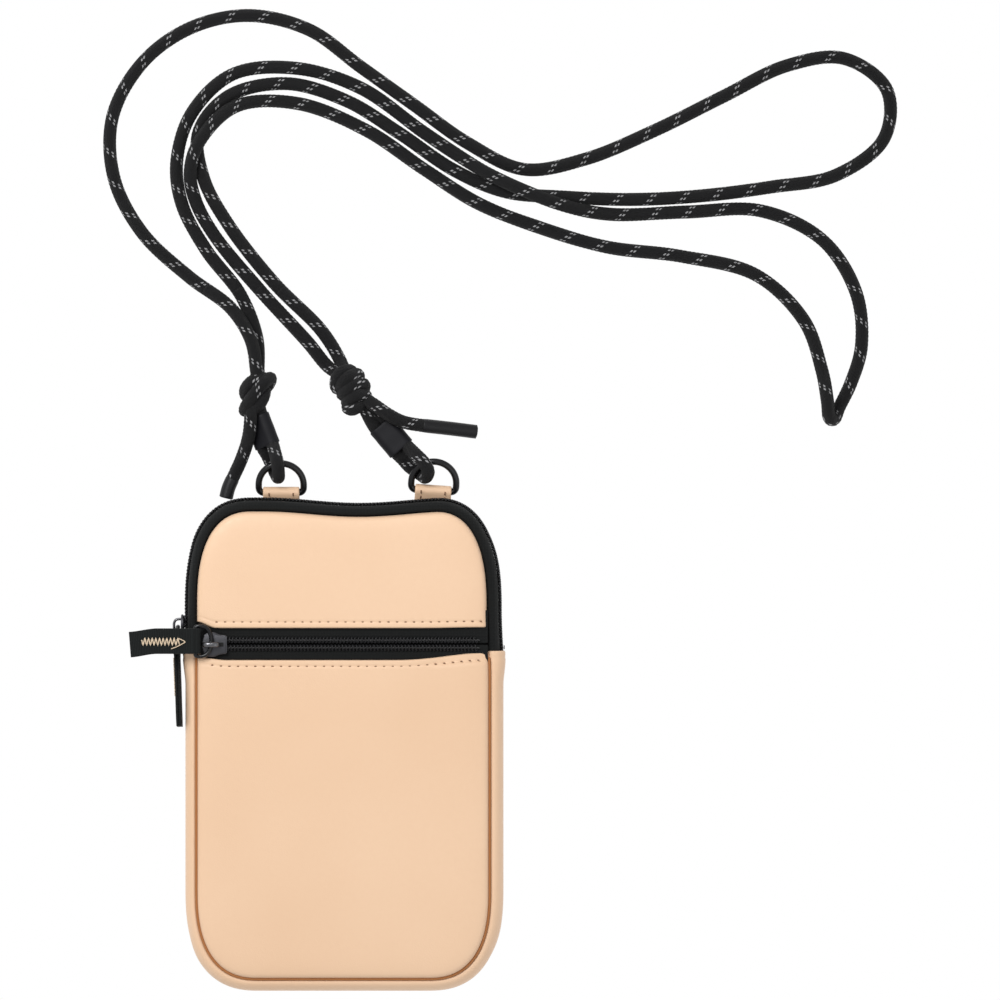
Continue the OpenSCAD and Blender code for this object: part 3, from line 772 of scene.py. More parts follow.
def wall_grid(path_at, profile):
    """Rows along the path, columns along the profile of (inset, z) pairs."""
    lines = [path_at(inset) for inset, _ in profile]
    return np.stack([np.column_stack([line, np.full(len(line), z)])
                     for line, (_, z) in zip(lines, profile)], axis=1)


def wall_piece(name, grid, mat):
    """A mesh from a wall's grid, with UVs of the distance along and across it in metres."""
    grid[..., :2] = settle(grid[..., :2])
    along = travelled(grid[:, grid.shape[1] // 2])
    across = travelled(grid[len(grid) // 2])
    return grid_piece(name, grid, mat, pairs(*np.meshgrid(along, across, indexing="ij")) * MM)


GUSSET_PROFILE = [(5.3, 0.95), (4.2, 1.1), (2.9, 2.2), (1.6, 4.2), (0.65, 6.6), (0.1, 9.0), (0.05, 11.0),
                  (0.5, 12.9), (1.3, 14.5), (2.3, 15.7), (3.3, 16.2), (4.1, 16.0), (4.6, 15.4),
                  (5.1, 15.0), (6.2, 14.9)]
FRONT_TAPE_PROFILE = [(0.95, 9.95), (0.9, 11.4), (1.2, 13.2), (2.0, 14.7), (3.0, 15.6), (3.9, 15.8),
                      (4.55, 15.2), (4.9, 14.2), (5.0, 13.0)]
REAR_TAPE_PROFILE = [(5.3, 0.95), (4.0, 1.2), (2.7, 2.4), (1.6, 4.4), (1.0, 6.6), (0.9, 8.0),
                     (0.95, 9.05)]
CREASE_SHADE_Z = 16.3
TOOTH_PITCH = 1.3
MAIN_TEETH_OUT = 1.45
DIVIDER_FACES = (12.0, 12.5)


def gusset():
    """The leather rim round the lower half, flared and folded back at its two ends."""
    profile = spline(GUSSET_PROFILE, 44)
    grid = wall_grid(lambda inset: under_bottom(inset, GUSSET_TOP), profile)
    y = grid[:, :, 1]
    flare = 1.0 * smooth_step(y, 22.0, 33.0) * smooth_step(profile[:, 0], 4.6, 0.5)[None]
    grid[:, :, 0] += np.sign(grid[:, :, 0]) * flare
    hem = np.exp(-((y - (GUSSET_TOP - 2.2)) / 0.4) ** 2) * 0.25
    grid[:, :, 0] -= np.sign(grid[:, :, 0]) * hem * (profile[:, 1] > 3)[None]
    grid[:, :, 2] -= hem * smooth_step(profile[:, 0], 1.0, 3.0)[None]
    rolled = [roll_end(grid[0], step) for step in (3, 2, 1)]
    closing = [roll_end(grid[-1], step) for step in (1, 2, 3)]
    grid = np.concatenate([rolled, grid, closing])
    rim = wall_piece("gusset", grid, MAT["leather"])
    # A dark brown tube along the crease under the panel's edge: painted shade where the panel overhangs the
    # rim.
    crease_shade = settle(under_bottom(SEAM_INSET - 0.25, GUSSET_TOP - 2.0))
    crease_shade = np.column_stack([crease_shade, np.full(len(crease_shade), CREASE_SHADE_Z)])
    return joined("gusset", [rim, tube("gusset_crease_shade", crease_shade * MM, 0.0005, 8, MAT["crease_shade"])])


def roll_end(row, step):
    """The end row of a wall, drawn towards the inside of the pouch as a folded edge is."""
    out = row.copy()
    inward = (0.15, 0.5, 1.1)[step - 1]
    out[:, 0] -= np.sign(out[:, 0]) * inward * np.clip((MID_Z + 6.5 - out[:, 2]) / 3.0, 0.3, 1.0)
    out[:, 2] -= inward * np.clip((out[:, 2] - 12.0) / 4.0, 0.0, 1.0)
    out[:, 1] += (0.35, 0.45, 0.2)[step - 1]
    return out


def main_zip_tape(name, profile):
    grid = wall_grid(lambda inset: over_top(inset, GUSSET_TOP - 6.0), spline(profile, 26))
    return wall_piece(name, grid, MAT["tape"])


def main_zip_teeth(name, side):
    """One row of the main zip's teeth: a coil of wire, kept clear of the other row's."""
    line = settle(over_top(0.35, GUSSET_TOP - 5.0))
    path = smooth_path(np.column_stack([line, np.full(len(line), MID_Z)]), 0.18)
    phase = 2 * math.pi * travelled(path) / TOOTH_PITCH + (0.0 if side > 0 else math.pi)
    tangents = np.gradient(path, axis=0)
    outward = np.stack([-tangents[:, 1], tangents[:, 0], np.zeros(len(path))], axis=1)
    outward /= np.linalg.norm(outward, axis=1)[:, None]
    coil = path + outward * (0.38 * np.sin(phase))[:, None]
    coil[:, 2] += side * (MAIN_TEETH_OUT + 0.85 * np.cos(phase))
    return tube(name, coil * MM, 0.00034, 6, MAT["coil"])


def back_panel():
    """The back, flat on the table and turned up into the seam all round."""
    y0 = np.sin(np.linspace(-math.pi / 2, math.pi / 2, 110)) * (HALF_H - SEAM_INSET)
    x, y = panel_grid(y0, 120)
    edge = seam_distance(x, y, SEAM_INSET)
    z = 0.05 + 1.2 * np.exp(-edge / 0.9)
    grid = np.stack([x, y, z], axis=2)
    grid[..., :2] = settle(grid[..., :2])
    return grid_piece("back_panel_skin", grid, MAT["leather"], flip=True)


def divider():
    """The lining between the two compartments."""
    outline = settle(np.vstack([over_top(5.2, 0.0, 30), under_bottom(5.2, 0.0, 30)]))
    n = len(outline)
    points = np.vstack([np.column_stack([outline, np.full(n, z)]) for z in DIVIDER_FACES])
    faces = [tuple(range(n)), tuple(range(2 * n - 1, n - 1, -1))]
    faces += [(i, i + n, (i + 1) % n + n, (i + 1) % n) for i in range(n)]
    return mesh_piece("divider_lining", points * MM, faces, MAT["lining"], smooth=False)


def keep(piece, body, node):
    """Ride a piece on a body, in place of a CAD node."""
    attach(piece, body)
    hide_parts(node)


def add_pouch():
    for piece, node, slot in (
            (front_panel("upper_panel", UPPER_FOLD, 1), "front_upper_panel", "peach_leather"),
            (front_panel("lower_panel", LOWER_FOLD, -1), "front_lower_panel", "peach_leather"),
            (joined("topstitch", [stitch_threads("topstitch_upper", 1, UPPER_FOLD),
                                  stitch_threads("topstitch_lower", -1, LOWER_FOLD)]),
             "front_topstitch", "peach_thread"),
            (gusset(), "lower_gusset", "peach_leather"),
            (main_zip_tape("main_front_tape", FRONT_TAPE_PROFILE), "main_zip_front_tape", "zip_tape"),
            (main_zip_tape("main_rear_tape", REAR_TAPE_PROFILE), "main_zip_rear_tape", "zip_tape"),
            (main_zip_teeth("main_front_teeth", 1), "main_zip_front_coil", "zip_coil"),
            (main_zip_teeth("main_rear_teeth", -1), "main_zip_rear_coil", "zip_coil"),
            (back_panel(), "back_panel", "peach_leather"),
            (divider(), "pocket_divider", "lining")):
        keep(piece, "pouch", node)


# ---------------------------------------------------------------- front zip

TAPE_Z = 17.3
FRONT_TEETH_END = 50.5
FRONT_TEETH_OUT = 1.45


def front_zip_tape(name, direction):
    """One woven tape of the front zip, running under the folded panel edges into the side seams."""
    x = np.linspace(-53.6, 53.6, 140)
    y = ZIP_Y + direction * np.r_[0.35, np.linspace(0.8, 12.5, 24)]
    gx, gy = np.meshgrid(x, y, indexing="ij")
    z = TAPE_Z + 0.25 - 1.2 * smooth_step(np.abs(gx), 52.2, 54.2)
    z += 0.18 * np.exp(-((np.abs(gy - ZIP_Y) - 3.0) / 0.35) ** 2)
    grid = np.stack([gx, gy, z], axis=2)
    return grid_piece(name, grid, MAT["tape"], pairs(gx, gy) * MM, flip=direction < 0)


def front_zip_teeth(name, direction):
    """One coil of the front zip and its seam, apart from the other so the slider's neck passes."""
    count = int(2 * FRONT_TEETH_END / TOOTH_PITCH)
    t = np.linspace(0.0, count, count * 16)
    turn = 2 * math.pi * (t + (0.25 if direction > 0 else -0.25))
    x = -FRONT_TEETH_END + t * TOOTH_PITCH + 0.12 * np.sin(2 * turn)
    y = ZIP_Y + direction * (FRONT_TEETH_OUT - 1.0 * np.cos(turn))
    z = TAPE_Z + 0.78 + 0.42 * np.sin(turn)
    coil = tube(name, np.stack([x, y, z], axis=1) * MM, 0.00033, 6, MAT["coil"])
    seam_x = np.linspace(-FRONT_TEETH_END, FRONT_TEETH_END, 320)
    seam_turn = 2 * math.pi * seam_x / TOOTH_PITCH
    seam_y = ZIP_Y + direction * FRONT_TEETH_OUT + 0.1 * np.sin(seam_turn)
    seam = np.stack([seam_x, seam_y, TAPE_Z + 1.2 + 0.08 * np.cos(seam_turn)], axis=1)
    return joined(name, [coil, tube(name + "_seam", seam * MM, 0.00022, 6, MAT["black_thread"])])


# ---------------------------------------------------------------- sliders and pulls, in their own frames

PULL_BAR = -5.9
WEBBING_W = 9.5
WEBBING_T = 1.0
EYE_R = 1.38
BRIDGE_WIDTH = 1.75
SLIDER_PLATE = 0.8
SLIDER_NECK = 0.16
LOWER_PLATE_SCALE = 0.6
FRONT_GAP = 2.4
SIDE_GAP = 3.1


def box(x0, x1, y0, y1):
    return [(x0, y0), (x1, y0), (x1, y1), (x0, y1)]


def slab(name, outline, low, high, bevel, mat):
    """A flat solid with rounded edges from a plan outline, in millimetres."""
    n = len(outline)
    points = [(x, y, z) for z in (low, high) for x, y in outline]
    faces = [tuple(reversed(range(n))), tuple(range(n, 2 * n))]
    faces += [(i, (i + 1) % n, (i + 1) % n + n, i + n) for i in range(n)]
    obj = mesh_piece(name, np.array(points) * MM, faces, mat)
    mod = obj.modifiers.new("rounded", "BEVEL")
    mod.width = bevel * MM
    mod.segments = 3
    mod.limit_method = "ANGLE"
    mod.angle_limit = math.radians(40)
    return apply_modifiers(obj)


def slider_outline(scale=1.0):
    """The plate's plan, nose at -X: a round nose, wide wings and a waisted flat tail."""
    half = [(-4.6, 0.0), (-4.5, 1.4), (-3.9, 2.9), (-2.6, 4.0), (-1.2, 4.3), (-0.2, 4.25), (0.9, 3.75),
            (2.2, 3.35), (3.6, 3.2), (4.5, 3.2)]
    side = spline(half, 26)
    loop = np.vstack([side, side[:0:-1] * (1, -1)])
    return loop[::-1] * (1.0, scale)


def zip_slider(name, gap, neck_y):
    """A slider; z = 0 is the underside of its top plate, and gap the room for the teeth.

    The neck is far thinner than a real one, to pass between the rows of teeth.
    """
    steel = MAT["slider"]
    top = slab(name + "_top", slider_outline(), 0.0, SLIDER_PLATE, 0.28, steel)
    low = slab(name + "_low", slider_outline(LOWER_PLATE_SCALE), -gap - SLIDER_PLATE, -gap, 0.25, steel)
    neck_plan = box(-4.2, -1.6, neck_y - SLIDER_NECK / 2, neck_y + SLIDER_NECK / 2)
    neck = slab(name + "_neck", neck_plan, -gap - 0.1, 0.1, 0.03, steel)
    lip = slab(name + "_lip", [(4.0, -3.1), (4.6, -3.15), (4.6, 3.15), (4.0, 3.1)], -0.1, 1.0, 0.2, steel)
    # A thin black sheet on the top plate: painted shadow standing for the dark slot beside the bridge.
    slot = slab(name + "_slot", box(0.4, 3.3, -0.75, 0.75), 0.7, 0.84, 0.03, MAT["shadow"])
    flanks = []
    for sy in (-1, 1):
        path = [(-3.9, 2.9, 0.25), (-2.6, 4.0, 0.1), (-1.2, 4.25, 0.05), (-0.2, 4.2, 0.05), (0.9, 3.7, 0.1),
                (2.2, 3.3, 0.15), (4.3, 3.1, 0.25)]
        path = smooth_path([(x, sy * y, z) for x, y, z in path], 0.25)
        flanks.append(tube(name + "_flank", path * MM, 0.00042, 10, steel))
    return joined(name, [top, low, neck, lip, slot, *flanks])


def slider_bridge(name):
    """The arch that holds the pull ring; z = 0 is the underside of the slider's top plate."""
    arch = [(-4.1, 0, 0.5), (-4.1, 0, 1.7), (-3.8, 0, 2.8), (-2.8, 0, 3.4), (-1.2, 0, 3.5), (0.3, 0, 3.35),
            (1.25, 0, 2.6), (1.45, 0, 1.5), (1.45, 0, 0.5)]
    path = smooth_path(arch, 0.12)
    bar = tube(name, path * MM, 0.00052, 14, MAT["bridge"], round_ends=False)
    for v in bar.data.vertices:
        v.co.y *= BRIDGE_WIDTH
    return bar


def pull_ring(name):
    """A round-shouldered ring: its hinge side bows through the bridge, its far bar holds the webbing."""
    half = [(0.0, 0.0), (-0.12, 1.6), (-0.75, 3.6), (-2.1, 5.15), (-3.7, 5.62), (-5.0, 5.62),
            (-5.75, 5.25), (PULL_BAR, 4.5), (PULL_BAR, 2.5), (PULL_BAR, 0.0)]
    loop = half + [(x, -y) for x, y in half[-2:0:-1]]
    path = smooth_path([(x, y, 0.0) for x, y in loop[-3:] + loop + loop[:4]], 0.2)
    start = np.argmin(np.linalg.norm(path[:40], axis=1))
    near = np.linalg.norm(path - path[start], axis=1)
    near[:start + 20] = 9.0
    end = np.argmin(near)
    return tube(name, path[start:end + 1] * MM, 0.00078, 14, MAT["wire"], round_ends=False)


def strap(name, path, width, thickness, mat, slant=0.0, sag=0.0):
    """A flat band swept along an XZ path: a rounded section, its far end cut at a slant and set over."""
    path = np.asarray(path, dtype=float)
    tangent = np.gradient(path, axis=0)
    tangent /= np.linalg.norm(tangent, axis=1)[:, None]
    normal = np.stack([-tangent[:, 1], tangent[:, 0]], axis=1)
    half_w, half_t = width / 2, thickness / 2
    across = np.linspace(-half_w + half_t, half_w - half_t, 22)
    bend = np.linspace(-math.pi / 2, math.pi / 2, 5)[1:-1]
    section = [(y, half_t) for y in across]
    section += [(half_w - half_t + half_t * math.cos(a), -half_t * math.sin(a)) for a in bend]
    section += [(y, -half_t) for y in across[::-1]]
    section += [(-half_w + half_t - half_t * math.cos(a), half_t * math.sin(a)) for a in bend]
    points, uvs = [], []
    for (x, z), (nx, nz), u in zip(path, normal, travelled(path)):
        for y, t in section:
            points.append((x + nx * t, y, z + nz * t))
            uvs.append((u, y))
    points = np.array(points)
    far = smooth_step(np.abs(points[:, 0]), 20.0, 31.0)
    points[:, 0] += slant * points[:, 1] * far
    points[:, 1] -= sag * far
    n = len(section)
    faces = grid_faces(len(path), n, closed=True)
    faces.append(tuple(range(n - 1, -1, -1)))
    faces.append(tuple((len(path) - 1) * n + k for k in range(n)))
    return mesh_piece(name, points * MM, faces, mat, np.array(uvs) * MM)


def webbing_path(length):
    """The webbing's centre line from its upper cut end round the ring's far bar to the lower one."""
    bar = PULL_BAR
    end = bar - length + 1.65
    upper = [(end, 0.52), (end + 3, 0.56), (bar - 10, 0.56), (bar - 4.6, 0.62), (bar - 2.8, 0.98),
             (bar - 1.5, 1.3)]
    turn = np.linspace(0.1, math.pi - 0.1, 9)
    eye = [(bar + EYE_R * math.sin(a), EYE_R * math.cos(a)) for a in turn]
    lower = [(x, -z) for x, z in upper[::-1]]
    full = smooth_path([(x, z, 0.0) for x, z in upper + eye + lower], 0.16)
    return full[:, :2]


def pull_webbing(name, length):
    path = webbing_path(length)
    ridge = sum(np.exp(-((path[:, 0] - x) / 0.16) ** 2) for x in (-6.5, -7.4))
    path[:, 1] += 0.12 * ridge * (path[:, 1] > 0)
    return strap(name, path, WEBBING_W, WEBBING_T, MAT["webbing"], -0.08, 1.3)


def bar_tack(name, loose_end=True):
    """Dense zigzag stitching through both layers, ending in a cut loose thread."""
    count, pitch, height = 22, 0.68, 1.45
    zigzag = [(-11.7 - i * pitch, (height if i % 2 else -height) - 0.2, 1.2) for i in range(count)]
    path = []
    for p, q in zip(zigzag[:-1], zigzag[1:]):
        p, q = np.array(p), np.array(q)
        for t in np.linspace(0.0, 1.0, 5)[:-1]:
            path.append(p + (q - p) * t + (0, 0, 0.16 * math.sin(math.pi * t)))
    parts = [tube(name, np.array(path) * MM, 0.00025, 7, MAT["thread"])]
    if loose_end:
        tail = [(-12.2, 1.0, 1.3), (-10.9, 0.5, 1.5), (-9.7, -0.3, 1.5), (-10.6, -0.9, 1.5),
                (-12.4, -1.9, 1.45), (-14.2, -2.6, 1.35), (-14.9, -2.9, 1.3)]
        parts.append(tube(name + "_tail", smooth_path(tail, 0.2) * MM, 0.00019, 7, MAT["thread"]))
    return joined(name, parts)


FRONT_SLIDER = (-48.1, 37.5, 19.0)
FRONT_PULL = (-49.3, 38.8, 21.0)
SIDE_SLIDER_Y = 44.0
SIDE_OUT = math.radians(4.4)
SIDE_IN = math.radians(2.0)


def moved(obj, matrix):
    obj.data.transform(matrix)
    if matrix.determinant() < 0:
        obj.data.flip_normals()
    return obj


def turned(angle, axis):
    return Matrix.Rotation(angle, 4, axis)


def shift(x, y, z):
    return Matrix.Translation((x * MM, y * MM, z * MM))


def on_left_wall(x, out):
    """Turns a piece drawn flat along X to stand on the left wall, hanging towards -Y, leaning out."""
    upright = turned(-math.pi / 2, "Y") @ turned(math.pi / 2, "Z")
    return shift(x, SIDE_SLIDER_Y, MID_Z) @ turned(-out, "Z") @ upright


def add_zips():
    rows = (("upper", 1), ("lower", -1))
    for row, direction in rows:
        keep(front_zip_tape(f"front_{row}_tape", direction), "pouch", f"front_zip_{row}_tape")
    for row, direction in rows:
        keep(front_zip_teeth(f"front_{row}_teeth", direction), "pouch", f"front_zip_{row}_coil")
    front = shift(*FRONT_SLIDER)
    body = moved(zip_slider("front_slider_body", FRONT_GAP, ZIP_Y - FRONT_SLIDER[1]), front)
    arch = moved(slider_bridge("front_slider_bridge"), front)
    keep(joined("front_slider", [body, arch]), "front_slider", "front_zip_slider")
    pull = shift(*FRONT_PULL)
    keep(moved(pull_ring("front_ring"), pull), "front_ring", "front_pull_ring")
    keep(moved(pull_webbing("front_webbing", 26.0), pull), "front_tab", "front_pull_webbing")
    keep(moved(bar_tack("front_tack"), pull), "front_tab", "front_pull_bartack")
    side = on_left_wall(-HALF_W - 0.8, 0.0) @ Matrix.Scale(-1, 4, (1, 0, 0))
    side_body = moved(zip_slider("side_slider_body", SIDE_GAP, 0.0), side)
    side_arch = moved(slider_bridge("side_slider_bridge"), side @ shift(1.3, 0, 0))
    keep(joined("side_slider", [side_body, side_arch]), "side_slider", "main_zip_slider")
    ring = on_left_wall(-HALF_W - 2.8, SIDE_OUT)
    hung = ring @ shift(PULL_BAR, 0, 0) @ turned(-SIDE_OUT - SIDE_IN, "Y") @ shift(-PULL_BAR, 0, 0)
    keep(moved(pull_ring("side_ring"), ring), "side_ring", "main_pull_ring")
    keep(moved(pull_webbing("side_webbing", 33.0), hung), "side_tab", "main_pull_webbing")
    keep(moved(bar_tack("side_tack", False), hung), "side_tab", "main_pull_bartack")


# ---------------------------------------------------------------- D-rings, their tabs and the cord ends

LEFT_BAR = (-23.8, 94.0, 3.6)
RIGHT_BAR = (33.1, 94.7, 3.6)
RIGHT_TURN = math.radians(-4)
RING_LEAN = math.radians(20)
RING_ARC = 8.4
RING_SIDE = 3.25
RING_BEND = 2.0
TAB_W = 13.6
KEEPER_W = 10.7
KEEPER_L = 12.0
KEEPER_T = 5.9
TAB_SEAM_Y = 86.2
RING_WIRE = 2.5
KNOT_CORD_D = 4.95
LEFT_LOOP_ROUTE = [
    (-31.3, 123.4, 5.8), (-29.2, 117.8, 5.8), (-27, 112.2, 6.4), (-25.9, 108.6, 9.6), (-25, 105.4, 11.5),
    (-24.7, 102.2, 10.9), (-24.7, 100.2, 8.6), (-25, 99.8, 6), (-25.8, 101, 3.4), (-27.3, 104.2, 2.35),
    (-29.4, 108.6, 2.4), (-30.7, 110.8, 3), (-32.8, 116.4, 3), (-34.7, 121.3, 3)]
RIGHT_LOOP_ROUTE = [
    (14.7, 121.8, 5.2), (19.2, 116.4, 5.2), (23.1, 111.8, 5.8), (26.4, 108.6, 9.2), (29.4, 105.6, 11.3),
    (31, 103, 11), (31.2, 101.2, 8.8), (30.2, 99.8, 6.2), (28.9, 100.5, 3.4), (27.2, 101.7, 2.35),
    (24.4, 103.6, 2.35), (21.8, 106.4, 2.6), (19.4, 108.8, 4.4), (15.6, 113.4, 5.2), (11.1, 118.7, 5.2)]
LEFT_TAIL_ROUTE = [(-34.9, 124.3, 9.2), (-35.1, 121.5, 9), (-35.6, 116.6, 8), (-36.9, 111.6, 5.2),
                   (-39.2, 105.5, 2.7), (-42, 99.5, 2.6)]
LEFT_TIP_ROUTE = [(-42, 99.5, 2.7), (-43.6, 95.8, 2.7), (-44.6, 91.9, 2.7)]
RIGHT_TAIL_ROUTE = [(10.6, 127.2, 8.6), (16.1, 123.4, 10.2), (21.6, 120.6, 9), (28.8, 119.2, 6.8)]
RIGHT_TIP_ROUTE = [(28.8, 119.2, 6.8), (39, 118.1, 4.4), (49.5, 116.8, 2.75)]

# Each turn of cord in a knot is a closed loop that starts on its underside
LEFT_KNOT_TURNS = [
    [(-32, 130.6, 3.2), (-28.6, 134.8, 3.4), (-27.9, 136.8, 6), (-30, 135.4, 8.8), (-33, 131.6, 9.6),
     (-35.8, 127.8, 9.4), (-37.2, 124.9, 8), (-36, 125.6, 4.8)],
    [(-33, 132, 3), (-36.2, 130.2, 4.4), (-37.1, 132, 7), (-35.2, 135, 8.4), (-31.6, 136.9, 7.4),
     (-29.6, 135.8, 4.4)],
    [(-33.6, 128.6, 3.2), (-35.4, 126.2, 5), (-34, 125.6, 7.8), (-31.2, 128.2, 8), (-30, 131.6, 6.6),
     (-30.8, 132, 3.6)]]
RIGHT_KNOT_TURNS = [
    [(0.6, 134, 3.2), (2.8, 138.4, 4.2), (1.6, 139.7, 7),
     (-1, 139, 8.4), (-3, 136.4, 8), (-2.8, 133.2, 5.8)],
    [(1, 134.6, 3), (-1.6, 133.4, 5.6), (-1, 134.9, 8.8), (2.2, 137.6, 9.8),
     (4.8, 138.2, 7.2), (4.6, 136.4, 3.6)],
    [(3, 131.4, 2.9), (-0.6, 130.8, 5.4), (0.2, 131.8, 8.8), (3.9, 134.4, 10),
     (7, 134.5, 7.4), (6.6, 132.6, 3.8)],
    [(4, 128.2, 3.2), (1.2, 127.6, 5.6), (1.6, 128.8, 8.6), (5, 130.6, 9.8),
     (7.8, 130.2, 7.2), (7.4, 128.2, 4.4)],
    [(3, 127, 5), (1.2, 126, 7), (2.8, 125.2, 9), (5.2, 126.4, 8.2), (5, 128, 5.6)]]
# The Y in metres at which the long runs pass into their end pieces
CORD_CUT = 0.170
# Where the strands meet inside each knot
LEFT_KNOT_HEART = (-32.5, 133.5, 6)
RIGHT_KNOT_HEART = (0.5, 137.5, 6.2)
LEFT_ENTRY = (-32.8, 129, 6)
RIGHT_ENTRY = (5.2, 130.4, 6)


def closed_tube(name, loop, diameter, mat, relief=None):
    """A tube round a closed loop of points, in millimetres."""
    loop = list(loop)
    path = smooth_path(loop[-2:] + loop + loop[:3], 0.4)
    start = np.argmin(np.linalg.norm(path - loop[0], axis=1)[:len(path) // 2])
    half = len(path) // 2
    end = half + np.argmin(np.linalg.norm(path[half:] - loop[0], axis=1))
    path = path[start:end + 1] * MM
    return tube(name, path, diameter / 2 * MM, CORD_SIDES, mat, relief, round_ends=False)


def arc(cx, cy, radius, start, end, steps):
    """Points round an arc, its angles in degrees."""
    angles = np.radians(np.linspace(start, end, steps))
    return [(cx + radius * math.cos(a), cy + radius * math.sin(a)) for a in angles]


def d_ring(name):
    """The D-ring, along +Y from its bar and leaning up from it, bent from one round wire."""
    flat = RING_ARC - RING_BEND
    loop = [(0, 0), (flat * 0.5, 0), (flat * 0.95, 0)]
    loop += arc(flat, RING_BEND, RING_BEND, -70, 0, 5)
    loop += arc(0.0, RING_SIDE, RING_ARC, 4, 176, 23)
    loop += arc(-flat, RING_BEND, RING_BEND, 180, 250, 5)
    loop += [(-flat * 0.95, 0), (-flat * 0.5, 0)]
    ring = closed_tube(name, [(x, y, 0.0) for x, y in loop], RING_WIRE, MAT["ring"])
    ring.data.transform(turned(RING_LEAN, "X"))
    return ring


def ring_tab(name, bar_y):
    """A leather strip folded round the ring's bar, both ends running back under the pouch wall."""
    seam = TAB_SEAM_Y - bar_y
    upper = [(seam + 0.6, -2.55), (seam + 2.8, -1.75), (seam + 4.3, -0.35), (-1.9, 1.0)]
    arc = [(1.81 * math.sin(a), 1.81 * math.cos(a)) for a in np.linspace(-0.5, math.pi, 12)]
    lower = [(-1.8, -2.2), (seam + 3.2, -2.7), (seam + 0.6, -2.95)]
    path = smooth_path([(y, z, 0.0) for y, z in upper + arc + lower], 0.14)[:, :2]
    tab = strap(name, path, TAB_W, 0.9, MAT["leather"])
    tab.data.transform(turned(math.pi / 2, "Z"))
    return tab


def tab_threads(name):
    """Two short stitches sunk into each side of the tab, one behind the other; their dark brown is painted
    shade in the dents.
    """
    parts = []
    for sx in (-1, 1):
        x = sx * (TAB_W / 2 - 2.3)
        for y, z, tilt in ((-0.65, 2.34, 15), (-2.67, 1.05, 34)):
            c, s = 0.62 * math.cos(math.radians(tilt)), 0.62 * math.sin(math.radians(tilt))
            path = [(x, y - c, z - s), (x, y, z + 0.06), (x, y + c, z + s)]
            parts.append(tube(name, smooth_path(path, 0.15) * MM, 0.00026, 8, MAT["shaded_stitch"]))
    return joined(name, parts)


def sleeve(name):
    """A flat sleeve over two strands, its length along Z, with rolled rims."""
    flat = (KEEPER_W - KEEPER_T) / 2
    half = KEEPER_L / 2
    profile = [(2.47, -half + 0.5), (2.5, -half + 0.15), (2.68, -half), (2.88, -half + 0.12),
               (2.95, -half + 0.5)]
    profile += [(2.93 + 0.03 * math.cos(z), z) for z in np.linspace(-half + 1.2, half - 1.2, 16)]
    profile += [(r, -z) for r, z in profile[4::-1]]
    around = []
    for sx, first in ((1, -90), (-1, 90)):
        for a in np.linspace(first, first + 180, 15):
            around.append((sx * flat, math.radians(a)))
    points = [(cx + r * math.cos(a), r * math.sin(a), z) for r, z in profile for cx, a in around]
    n = len(around)
    faces = grid_faces(len(profile), n, closed=True)
    last = (len(profile) - 1) * n
    faces += [(last + k, last + (k + 1) % n, (k + 1) % n, k) for k in range(n)]
    return mesh_piece(name, np.array(points) * MM, [f[::-1] for f in faces], MAT["keeper"])


def at_keeper(middle, turn, roll):
    spin = turned(math.radians(turn), "Z")
    return shift(*middle) @ spin @ turned(math.pi / 2, "X") @ turned(math.radians(roll), "Z")


def knot(name, turns):
    tubes = [closed_tube(name, turn, KNOT_CORD_D, MAT["cord"], braid_relief) for turn in turns]
    return on_table(joined(name, tubes))


def shrink_tip(name, route):
    """A shrunk tube over the cord's end: a soft shoulder, then its blunt closed end."""
    path = smooth_path(route, 0.3) * MM
    t = np.linspace(0.0, 1.0, len(path))
    radius = 0.0026 - 0.00012 * np.exp(-(t / 0.06) ** 2)
    return on_table(tube(name, path, radius, CORD_SIDES, MAT["shrink"]))


def cord_span(whole, name, first, last):
    """The part of a cord's tube between two of its rings, ends closed."""
    span = whole.copy()
    span.data = whole.data.copy()
    span.name = name
    bpy.context.scene.collection.objects.link(span)
    mesh = bmesh.new()
    mesh.from_mesh(span.data)
    mesh.verts.ensure_lookup_table()
    kept = range(first * CORD_SIDES, (last + 1) * CORD_SIDES)
    spare = [v for i, v in enumerate(mesh.verts) if i not in kept]
    bmesh.ops.delete(mesh, geom=spare, context="VERTS")
    bmesh.ops.holes_fill(mesh, edges=[e for e in mesh.edges if e.is_boundary], sides=0)
    mesh.to_mesh(span.data)
    mesh.free()
    return span


def add_neck_cord(name, route, node, turn, start):
    """One long run: its middle lies still, and each end piece, from the run to its knot, stands apart as its
    own piece.
    """
    points = [in_metres(p) for p in (LEFT_KNOT_HEART, *route, RIGHT_KNOT_HEART)]
    path = smooth_path(points, 0.0008)
    whole = cord_piece(name, path, turn, start)
    low = path[:, 1] < CORD_CUT
    first = int(np.argmin(low))
    last = len(path) - 1 - int(np.argmin(low[::-1]))
    middle = cord_span(whole, name + "_run", first, last)
    keep(middle, "pouch", node)
    for end, knot_at, run_at in (("left", 0, first), ("right", len(path) - 1, last)):
        piece = cord_span(whole, f"{name}_{end}_end", min(knot_at, run_at), max(knot_at, run_at))
        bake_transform(piece)
        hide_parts(node)
    bpy.data.objects.remove(whole)


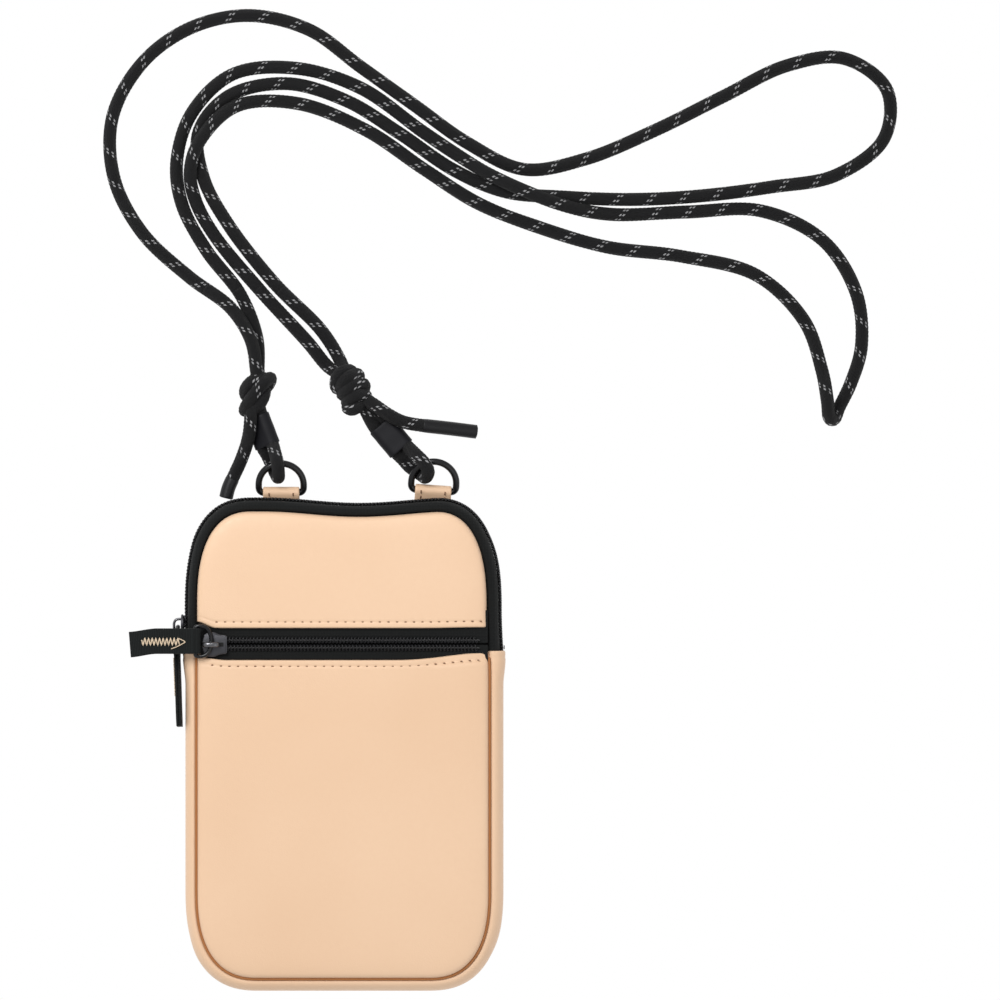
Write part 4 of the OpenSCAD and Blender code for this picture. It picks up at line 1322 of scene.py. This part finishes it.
def add_ties():
    for side, bar, turn in (("left", LEFT_BAR, 0.0), ("right", RIGHT_BAR, RIGHT_TURN)):
        place = shift(*bar) @ turned(turn, "Z")
        keep(moved(d_ring(side + "_ring_wire"), place), side + "_ring", side + "_d_ring")
        keep(moved(ring_tab(side + "_tab", bar[1]), place), "pouch", side + "_ring_tab")
        keep(moved(tab_threads(side + "_tab_threads"), place), "pouch", "tab_stitches")
    sleeves = {"left": moved(sleeve("left_sleeve"), at_keeper((-31, 117.1, 4.4), 21, 35)),
               "right": moved(sleeve("right_sleeve"), at_keeper((17.4, 114.9, 5.2), 40, 0))}
    for side, piece in sleeves.items():
        keep(piece, side + "_ring", side + "_keeper")
    for side, entry, loop, tail, tip, turns in (
            ("left", [LEFT_ENTRY], LEFT_LOOP_ROUTE, LEFT_TAIL_ROUTE, LEFT_TIP_ROUTE, LEFT_KNOT_TURNS),
            ("right", [RIGHT_ENTRY], RIGHT_LOOP_ROUTE, RIGHT_TAIL_ROUTE, RIGHT_TIP_ROUTE, RIGHT_KNOT_TURNS)):
        body = side + "_ring"
        bundle = knot(side + "_knot_turns", turns)
        keep(bundle, body, side + "_knot")
        loop_path = smooth_path(entry + loop + entry, 0.4) * MM
        bight = cord_piece(side + "_loop", loop_path, 0.1)
        keep(bight, body, side + "_cord_loop")
        cap = shrink_tip(side + "_tip", tip)
        keep(cap, body, side + "_cord_tip")
        tail_path = smooth_path(entry + tail + tip[1:2], 0.4) * MM
        cord = cord_piece(side + "_tail", tail_path, 0.3, 0.003)
        keep(cord, body, side + "_cord_tail")


def add_stops():
    """The staples at the two ends of the round-the-top zip."""
    for side in (-1, 1):
        x = side * (HALF_W + 0.25)
        plan = box(x - 0.2, x + 0.2, GUSSET_TOP + 1.0, GUSSET_TOP + 2.4)
        name = "zip_stop_left" if side < 0 else "zip_stop_right"
        staple = slab(name, plan, MID_Z - 2.5, MID_Z + 2.5, 0.1, MAT["slider"])
        keep(staple, "pouch", "main_zip_stops")


make_camera()
make_studio()

add_neck_cord("neck_cord_a", CORD_A_ROUTE, "cord_a_run", 0.0, 0.0)
add_neck_cord("neck_cord_b", CORD_B_ROUTE, "cord_b_run", 0.2, 0.004)
add_ties()
add_pouch()
add_stops()
add_zips()

bpy.context.view_layer.update()
